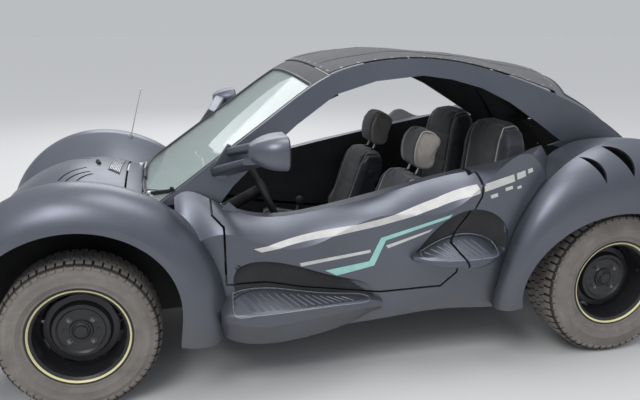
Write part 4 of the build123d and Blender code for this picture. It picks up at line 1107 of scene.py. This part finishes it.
def soft_roof():
    """One stretched sheet of coated cloth over three bays, with hems, seams, snaps and bows."""
    tree = tree_of("soft_roof")
    rows = roof_rows(tree)
    cloth = Shape()
    cloth.grid(rows)
    piece = fit(cloth, "roof_cloth_sheet", "chassis", "roof_cloth", smooth=60)
    thick = piece.modifiers.new("thickness", "SOLIDIFY")
    thick.thickness = 0.003
    thick.offset = -1.0
    roof_seams(tree)
    roof_snaps(tree)
    roof_bows(tree)
    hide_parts("soft_roof")


# Seats
CLOTH_FRAMES = 16
CLOTH_PRESSURE = 4.0
VOXEL = 0.010
# Seams: depth, width, least pull that counts
PANEL_SEAM = (0.008, 0.010, 0.01)
CROSS_SEAM = (0.006, 0.012, 0.0)
SEAM_FADE = 0.02
# Round section of the piping
PIPE = [(0.0038 * cos(2 * pi * k / 8), 0.0038 * sin(2 * pi * k / 8)) for k in range(8)]

# Cushions: side outlines (x, z), as in the model's source
FRONT_CUSHION = [(-0.205, 0.335), (-0.190, 0.405), (0.060, 0.418), (0.270, 0.452), (0.292, 0.420),
                 (0.285, 0.350), (0.240, 0.330)]
FRONT_BACK = [(-0.185, 0.418), (-0.120, 0.440), (-0.175, 0.560), (-0.272, 0.828), (-0.305, 0.845),
              (-0.372, 0.818), (-0.290, 0.560), (-0.240, 0.430)]
HEADREST = [(-0.330, 0.862), (-0.318, 0.945), (-0.352, 1.045), (-0.378, 1.056), (-0.448, 1.020),
            (-0.425, 0.930), (-0.400, 0.858)]
REAR_CUSHION = [(-0.742, 0.350), (-0.735, 0.470), (-0.560, 0.492), (-0.395, 0.500), (-0.375, 0.470),
                (-0.385, 0.380), (-0.420, 0.350)]
REAR_BACK = [(-0.748, 0.480), (-0.700, 0.500), (-0.728, 0.700), (-0.770, 1.040), (-0.800, 1.068),
             (-0.868, 1.050), (-0.830, 0.700), (-0.790, 0.480)]


def closed_curve(points, parts=6):
    """A smooth closed curve through 2-D points."""
    count = len(points)
    curve = []
    for i in range(count):
        a, b, c, d = [Vector(points[(i + k - 1) % count]) for k in range(4)]
        curve += [between(a, b, c, d, k / parts) for k in range(parts)]
    return curve


def shoulder(share, z, top, half, corner):
    """How far across a point lies when the upper corners are rounded off, seen from the front."""
    over = z - (top - corner)
    if corner <= 0 or over <= 0:
        return share * half
    return share * (half - corner + max(corner * corner - over * over, 0.0) ** 0.5)


# A pad's form starts inside its outline by a share of the cap and grows smaller towards both ends
START_SHARE = 0.8
END_SHRINK = 0.20
END_POWER = 9
END_ROOT = 2.2
LAST_SCALE = 0.72
# Places across a pad, as shares of its half-width
PAD_SHARES = [-1.0, -0.985, -0.94, -0.86, -0.72, -0.48, -0.24, 0.0, 0.24, 0.48, 0.72, 0.86, 0.94, 0.985, 1.0]


def pad_form(outline, half, start_in, corner):
    """A closed pillow form: the outline drawn across, narrower towards both ends."""
    curve = closed_curve(outline)
    middle = sum(curve, Vector((0, 0))) / len(curve)
    size = max((p - middle).length for p in curve)
    top = max(p.y for p in curve)
    loops = []
    for u in PAD_SHARES:
        scale = LAST_SCALE
        if abs(u) < 1:
            drawn = (1 - abs(u) ** END_POWER) ** (1 / END_ROOT)
            scale = (1 - start_in / size) * (1 - END_SHRINK + END_SHRINK * drawn)
        loop = []
        for p in curve:
            q = middle + (p - middle) * scale
            loop.append(Vector((q.x, shoulder(u, q.y, top, half - start_in, corner), q.y)))
        loops.append(loop)
    form = Shape()
    form.loops(loops)
    return form


def inflate(piece, cap):
    """Remeshes a pillow form and lets cloth pressure round it, no point moving further than the cap."""
    remesh = piece.modifiers.new("remesh", "REMESH")
    remesh.mode = "VOXEL"
    remesh.voxel_size = VOXEL
    bake(piece)
    before = [v.co.copy() for v in piece.data.vertices]
    simulate(piece)
    for vertex, old in zip(piece.data.vertices, before):
        move = vertex.co - old
        if move.length > cap:
            vertex.co = old + move.normalized() * cap
    piece.data.shade_smooth()


def simulate(piece):
    """A short run of cloth under pressure from inside."""
    cloth = piece.modifiers.new("cloth", "CLOTH")
    cloth.settings.use_pressure = True
    cloth.settings.uniform_pressure_force = CLOTH_PRESSURE
    cloth.settings.effector_weights.gravity = 0.0
    cloth.settings.quality = 4
    scene = bpy.context.scene
    for frame_number in range(1, CLOTH_FRAMES + 1):
        scene.frame_set(frame_number)
    bake(piece)
    scene.frame_set(1)


def bake(piece):
    """Applies the piece's modifiers to its mesh."""
    graph = bpy.context.evaluated_depsgraph_get()
    made = bpy.data.meshes.new_from_object(piece.evaluated_get(graph))
    piece.modifiers.clear()
    old = piece.data
    piece.data = made
    made.name = old.name


def sew(vertices, seams, size, fade=lambda vertex: 1.0):
    """Draws vertices in along seams, given as (axis, place), to a (depth, width, least pull)."""
    depth, width, least = size
    for vertex in vertices:
        pull = max(exp(-((vertex.co[axis] - place) / width) ** 2) for axis, place in seams)
        if pull > least:
            vertex.co -= vertex.normal * (depth * pull * fade(vertex))


def ring_at(tree, outline, y):
    """A rail round a pad at a place across it, laid on its surface."""
    rail = []
    for q in closed_curve(outline, 8):
        p, n, _, _ = tree.find_nearest(Vector((q.x, y, q.y)))
        rail.append((p + n * 0.0005, n))
    return evenly(rail, 0.012)


def cover(piece, half_panel, edge_finish):
    """Two finishes on a pad: the cloth panel in the middle and another outside its seams; on the headrest
    the dark middle is painted shade.
    """
    data = piece.data
    data.materials.append(MATERIALS[edge_finish])
    middle = sum(v.co.y for v in data.vertices) / len(data.vertices)
    for face in data.polygons:
        face.material_index = 1 if abs(face.center.y - middle) > half_panel else 0


def cushion(name, outline, half, half_panel, channels, cap, corner):
    """One sewn cushion about y = 0, as (piece, piping shape). Channels are cross seams as (axis, place)."""
    piece = pad_form(outline, half, cap * START_SHARE, corner).piece(name, MATERIALS["seat_fabric"], 60)
    inflate(piece, cap)
    sew(piece.data.vertices, [(1, -half_panel), (1, half_panel)], PANEL_SEAM)
    if channels:
        inside = [v for v in piece.data.vertices if abs(v.co.y) < half_panel]
        sew(inside, channels, CROSS_SEAM, lambda v: min(1.0, (half_panel - abs(v.co.y)) / SEAM_FADE))
    # A headrest keeps the dark seat cloth in its middle band as painted shade on its front and back; its
    # sides take the beige cloth
    cover(piece, half_panel, "headrest_fabric" if name == "headrest" else "bolster_vinyl")
    piping = Shape()
    surface = BVHTree.FromPolygons([v.co.copy() for v in piece.data.vertices],
                                   [tuple(face.vertices) for face in piece.data.polygons])
    for place in (-half_panel, half_panel):
        bead(piping, ring_at(surface, outline, place), PIPE)
    fine = piece.modifiers.new("fine", "SUBSURF")
    fine.levels = fine.render_levels = 1
    bake(piece)
    piece.data.shade_smooth()
    return piece, piping


def placed(source, name, shift):
    """A copy of a cushion moved across the car, riding on the chassis."""
    copy = bpy.data.objects.new(name, source.data.copy())
    for vertex in copy.data.vertices:
        vertex.co.y += shift
    bpy.context.scene.collection.objects.link(copy)
    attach(copy, "chassis")
    return copy


def shifted(shape, shift):
    """The shape moved across the car."""
    other = Shape()
    other.add([v + Vector((0, shift, 0)) for v in shape.vertices], shape.faces)
    return other


# Columns: name, outline, half-width, half of the cloth panel, cross seams (axis, place), cap, corner,
# place of the left one across the car, node
CUSHIONS = [
    ("front_cushion", FRONT_CUSHION, 0.235, 0.150, [(0, -0.05), (0, 0.07), (0, 0.19)], 0.012, 0.0, 0.34,
     "front_seat_cushions"),
    ("front_back", FRONT_BACK, 0.235, 0.150, [(2, 0.53), (2, 0.64), (2, 0.75)], 0.012, 0.13, 0.34,
     "front_seat_backs"),
    ("headrest", HEADREST, 0.132, 0.085, [], 0.010, 0.085, 0.34, "headrests"),
    ("rear_cushion", REAR_CUSHION, 0.255, 0.165, [(0, -0.62), (0, -0.50)], 0.012, 0.0, 0.272,
     "rear_seat_cushion"),
    ("rear_back", REAR_BACK, 0.255, 0.150, [(2, 0.62), (2, 0.77), (2, 0.92)], 0.012, 0.17, 0.272,
     "rear_seat_backs"),
]


def seats():
    """Models every cushion once, rounded by cloth pressure and sewn, and places it on both sides."""
    for name, *form, place, node in CUSHIONS:
        slot = "headrest_fabric" if name == "headrest" else "seat_fabric"
        piece, piping = cushion(name, *form)
        copies = []
        for side, shift in (("left", place), ("right", -place)):
            copies.append(placed(piece, f"{name}_{side}", shift))
            fit(shifted(piping, shift), f"{name}_{side}_piping", "chassis", slot, "piping", 60)
        bpy.data.objects.remove(piece)
        for copy in copies:
            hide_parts(node)


POSTS_Y = (0.285, 0.395, -0.395, -0.285)
POST_GUIDE = [(0.013, 0.0), (0.013, 0.008), (0.009, 0.014)]


def headrest_posts():
    """Bright posts and guides between each front seat back and its headrest."""
    posts, guides = Shape(), Shape()
    for y in POSTS_Y:
        tube(posts, [(-0.335, y, 0.815), (-0.352, y, 0.850), (-0.370, y, 0.890)], 0.006)
        turned_on(guides, (-0.338, y, 0.822), (-0.35, 0, 1), POST_GUIDE, 16)
    fit(posts, "headrest_posts", "chassis", "cast_metal", "bright_metal")
    fit(guides, "headrest_guides", "chassis", "trim_black")


# Dials: top and foot of the dashboard's slope; (y, radius)
DASH_FACE = (Vector((0.590, 0.0, 0.722)), Vector((0.575, 0.0, 0.660)))
DIALS = [(0.395, 0.027), (0.330, 0.027), (0.275, 0.018)]
# Marks: angles from straight up in degrees, ends as shares of the radius, half-widths, heights
TICKS = range(-120, 121, 24)
TICK_ENDS = (0.72, 0.90)
TICK_WIDTH = 0.0006
TICK_LIFT = 0.0021
NEEDLE_ANGLE = -70
NEEDLE_END = 0.8
NEEDLE_WIDTH = 0.0009
NEEDLE_LIFT = 0.0026


def dial(y, r, bezels, faces, marks):
    """A round instrument with tick marks and a needle, on the slope above the steering column."""
    top, low = DASH_FACE
    up = (top - low).normalized()
    out = Vector((-up.z, 0, up.x))
    centre = (top + low) / 2 + Vector((0, y, 0))
    rim = [(r + 0.004, 0.0), (r + 0.004, 0.008), (r + 0.001, 0.0105), (r, 0.008), (r, 0.001)]
    turned_on(bezels, centre - out * 0.004, out, rim, 40)
    turned_on(faces, centre - out * 0.003, out, [(r, 0.0), (r, 0.0045), (0.001, 0.0046)], 40)

    def spoke_at(degrees):
        """A direction on the face, turned from straight up."""
        return up * cos(radians(degrees)) + Vector((0, 1, 0)) * sin(radians(degrees))

    face = centre + out * TICK_LIFT
    for degrees in TICKS:
        spoke = spoke_at(degrees)
        side = out.cross(spoke) * TICK_WIDTH
        inner, outer = [face + spoke * (r * share) for share in TICK_ENDS]
        marks.add([inner - side, outer - side, outer + side, inner + side], [(0, 1, 2, 3)])
    spoke = spoke_at(NEEDLE_ANGLE)
    side = out.cross(spoke) * NEEDLE_WIDTH
    base = centre + out * NEEDLE_LIFT
    marks.add([base - side, base + spoke * (r * NEEDLE_END), base + side], [(0, 1, 2)])


def dials():
    """Three instruments in front of the driver."""
    bezels, faces, marks = Shape(), Shape(), Shape()
    for y, r in DIALS:
        dial(y, r, bezels, faces, marks)
    fit(bezels, "dial_bezels", "chassis", "dash_plastic", "bright_metal")
    fit(faces, "dial_faces", "chassis", "dash_plastic", "seal_rubber")
    fit(marks, "dial_marks", "chassis", "dash_plastic", "band_white")


# Levers on the tunnel and pedals on the floor. Rows: radius, height
BOOT = [(0.045, 0.0), (0.043, 0.010), (0.034, 0.016), (0.036, 0.024), (0.026, 0.030), (0.028, 0.038),
        (0.018, 0.045), (0.010, 0.060)]
KNOB = [(0.008, 0.0), (0.018, 0.008), (0.0225, 0.022), (0.021, 0.036), (0.013, 0.046), (0.003, 0.049)]
PEDAL = [(0.026, 0.0), (0.028, 0.004), (0.026, 0.010), (0.010, 0.012)]
# Plan positions (x, y)
GEAR_AT = (0.20, 0.0)
BRAKE_AT = (-0.02, 0.0)
PEDALS_AT = [(0.60, 0.425), (0.60, 0.345), (0.60, 0.265)]


def raised(base, rows):
    """Points at (x, z) offsets from a base."""
    return [base + Vector((x, 0, z)) for x, z in rows]


def levers():
    """Gear lever with its boot, hand brake and three pedals."""
    pan = tree_of("floor_pan")
    rods, grips = Shape(), Shape()
    foot = dropped(pan, *GEAR_AT)[0]
    turned_on(grips, foot, (0, 0, 1), BOOT, 28)
    shaft = raised(foot, [(0, 0.03), (-0.008, 0.15), (-0.045, 0.27)])
    tube(rods, shaft, 0.0065, 0.0055)
    turned_on(grips, shaft[-1] - Vector((0, 0, 0.012)), (-0.2, 0, 1), KNOB, 24)
    brake = dropped(pan, *BRAKE_AT)[0]
    tube(rods, raised(brake, [(0, 0.008), (-0.10, 0.045), (-0.14, 0.062)]), 0.009)
    tube(grips, raised(brake, [(-0.14, 0.062), (-0.20, 0.088), (-0.245, 0.106)]), 0.0145, 0.0135)
    for x, y in PEDALS_AT:
        arm = raised(dropped(pan, x, y)[0], [(0, 0), (0.03, 0.08), (0.015, 0.155)])
        tube(rods, arm, 0.006)
        turned_on(grips, arm[-1], (-1, 0, 0.45), PEDAL, 20)
    fit(rods, "lever_rods", "chassis", "cast_metal", "bright_metal")
    fit(grips, "lever_grips", "chassis", "seal_rubber")


HORN_PAD = [(0.050, 0.0), (0.050, 0.006), (0.044, 0.013), (0.030, 0.016), (0.022, 0.0165), (0.021, 0.014),
            (0.002, 0.015)]
HORN_LIFT = 0.007


def wheel_pad():
    """A round horn pad on the steering wheel's hub."""
    pad = Shape()
    rise = radians(STEER_RISE)
    axis = Vector((-cos(rise), 0, sin(rise)))
    turned_on(pad, STEER_HUB + axis * HORN_LIFT, axis, HORN_PAD, 40)
    fit(pad, "steering_wheel_pad", "steering_wheel", "dash_plastic", "seal_rubber")


# Moulded rims of the foot steps, as in the model's source. Columns: x, inner rim (y, z), outer rim (y, z)
SIDE_STEP = [
    (0.585, (0.728, 0.448), (0.850, 0.393)), (0.500, (0.734, 0.462), (0.866, 0.394)),
    (0.380, (0.734, 0.450), (0.866, 0.396)), (0.180, (0.740, 0.412), (0.848, 0.396)),
    (0.020, (0.750, 0.394), (0.808, 0.384)),
]
SCOOP = [
    (-0.235, (0.748, 0.572), (0.812, 0.556)), (-0.300, (0.736, 0.600), (0.838, 0.552)),
    (-0.400, (0.730, 0.630), (0.848, 0.548)), (-0.500, (0.730, 0.626), (0.842, 0.547)),
    (-0.580, (0.736, 0.590), (0.812, 0.547)),
]
# Painted highlight lines on the step rims: how near a panel they lie, the shortest stretch, shifts of the
# inner and the outer rim, step
RIM_REACH = 0.010
RIM_POINTS = 5
INNER_SHIFT = 0.004
OUTER_SHIFT = (-0.003, -0.001)
RIM_STEP = 0.006


def runs_on(path, mine, other):
    """The stretches of a path that lie on one of two panels, as rows of (point, normal)."""
    runs = [[]]
    for p in path:
        place, n, _, away = mine.find_nearest(p)
        if away < RIM_REACH and away <= other.find_nearest(p)[3]:
            runs[-1].append((place, n))
        else:
            runs.append([])
    return [run for run in runs if len(run) >= RIM_POINTS]


def step_rim_highlights(trees):
    """Painted highlight lines along the rims of the foot steps, each stretch on the panel that it lies on.
    """
    section = half_round(0.0013, 0.0012, 0.0006, 5)
    for key, other, body in PANELS:
        shape = Shape()
        for rows in (SIDE_STEP, SCOOP):
            inner = [(x, y + INNER_SHIFT, z) for x, (y, z), _ in rows]
            outer = [(x, y + OUTER_SHIFT[0], z + OUTER_SHIFT[1]) for x, _, (y, z) in rows]
            path = smooth_path(inner + outer[::-1] + inner[:1], 24)
            for run in runs_on(path, trees[key], trees[other]):
                bead(shape, evenly(run, RIM_STEP, closed=False), section, closed=False)
        fit_pair(shape, f"step_rim_{key}_{{}}", body, "body_paint", "rim_paint", 60)


# Lamp joints: fewest points of an outline, step along it, how far the joint is sunk
OUTLINE_POINTS = 13
JOINT_STEP = 0.008
JOINT_SINK = 0.0012


def lamp_seams():
    """A fine dark joint round each lamp cover."""
    for name, housing in (("headlamps", FRONT_HOUSING), ("tail_lamps", REAR_HOUSING)):
        inner = facing(*housing)
        outlines = rim_loops(name, lambda centre, normal: not inner(centre, normal))
        loops = [rail for rail in outlines if len(rail) >= OUTLINE_POINTS]
        seal = Shape()
        for rail in loops[:2]:
            sunk = [(p - n * JOINT_SINK, n) for p, n in evenly(rail, JOINT_STEP)]
            bead(seal, sunk, half_round(0.0026, 0.0022, 0.004, 5))
        fit(seal, f"{name}_joint", "chassis", "seal_rubber")


# Colour of the sky by height, the same for the camera and for every reflection
SKY = [(0.04, (0.497, 0.513, 0.528)), (0.30, (0.42, 0.45, 0.50)), (0.62, (0.72, 0.76, 0.84)),
       (1.0, (1.0, 1.0, 1.0))]
# Lamps. Columns: name, place, power in watts, size
LAMPS = [("key", (3.0, 4.5, 6.0), 170.0, 3.0), ("top", (-1.0, 0.5, 7.0), 120.0, 3.5),
         ("back", (0.5, -6.0, 5.0), 120.0, 4.0)]
FLOOR_RADIUS = 90.0


def floor():
    """A plain pale floor."""
    bpy.ops.mesh.primitive_circle_add(vertices=96, radius=FLOOR_RADIUS, fill_type="NGON", location=(0, 0, 0))
    ground = bpy.context.object
    ground.name = "floor"
    ground.data.materials.append(new_material("floor", (0.66, 0.655, 0.645), 0.95)[0])


def sky():
    """A pale sky, brighter overhead."""
    world = bpy.data.worlds.new("world")
    bpy.context.scene.world = world
    world.use_nodes = True
    tree = world.node_tree
    background = tree.nodes["Background"]
    direction = tree.nodes.new("ShaderNodeTexCoord").outputs["Generated"]
    split = tree.nodes.new("ShaderNodeSeparateXYZ")
    tree.links.new(direction, split.inputs[0])
    tree.links.new(ramp(tree, split.outputs["Z"], *SKY), background.inputs["Color"])
    background.inputs["Strength"].default_value = 1.0


def lamps():
    """Large soft area lamps aimed at the middle of the car."""
    for name, place, power, size in LAMPS:
        data = bpy.data.lights.new(name, "AREA")
        data.energy = power
        data.size = size
        light = bpy.data.objects.new(name, data)
        light.location = place
        aim = Vector((0, 0, 0.6)) - Vector(place)
        light.rotation_euler = aim.to_track_quat("-Z", "Y").to_euler()
        bpy.context.scene.collection.objects.link(light)


bpy.context.scene.view_settings.view_transform = "Standard"
camera()
finish_nodes()
wheels()
glass_seals()
screen = tree_of("windshield_frame", "windshield", "front_fender_left", "front_fender_right",
                 "nose_panel", "hood")
hood_top = tree_of("hood")
wipers(screen)
washer_nozzles(hood_top)
aerial()
cowl_grille(hood_top)
mirrors()
panel_trees = {"door": tree_of("door_left"), "side": tree_of("body_side_left")}
side_bands(panel_trees)
soft_roof()
seats()
headrest_posts()
dials()
levers()
wheel_pad()
lamp_seams()
step_rim_highlights(panel_trees)
floor()
sky()
lamps()
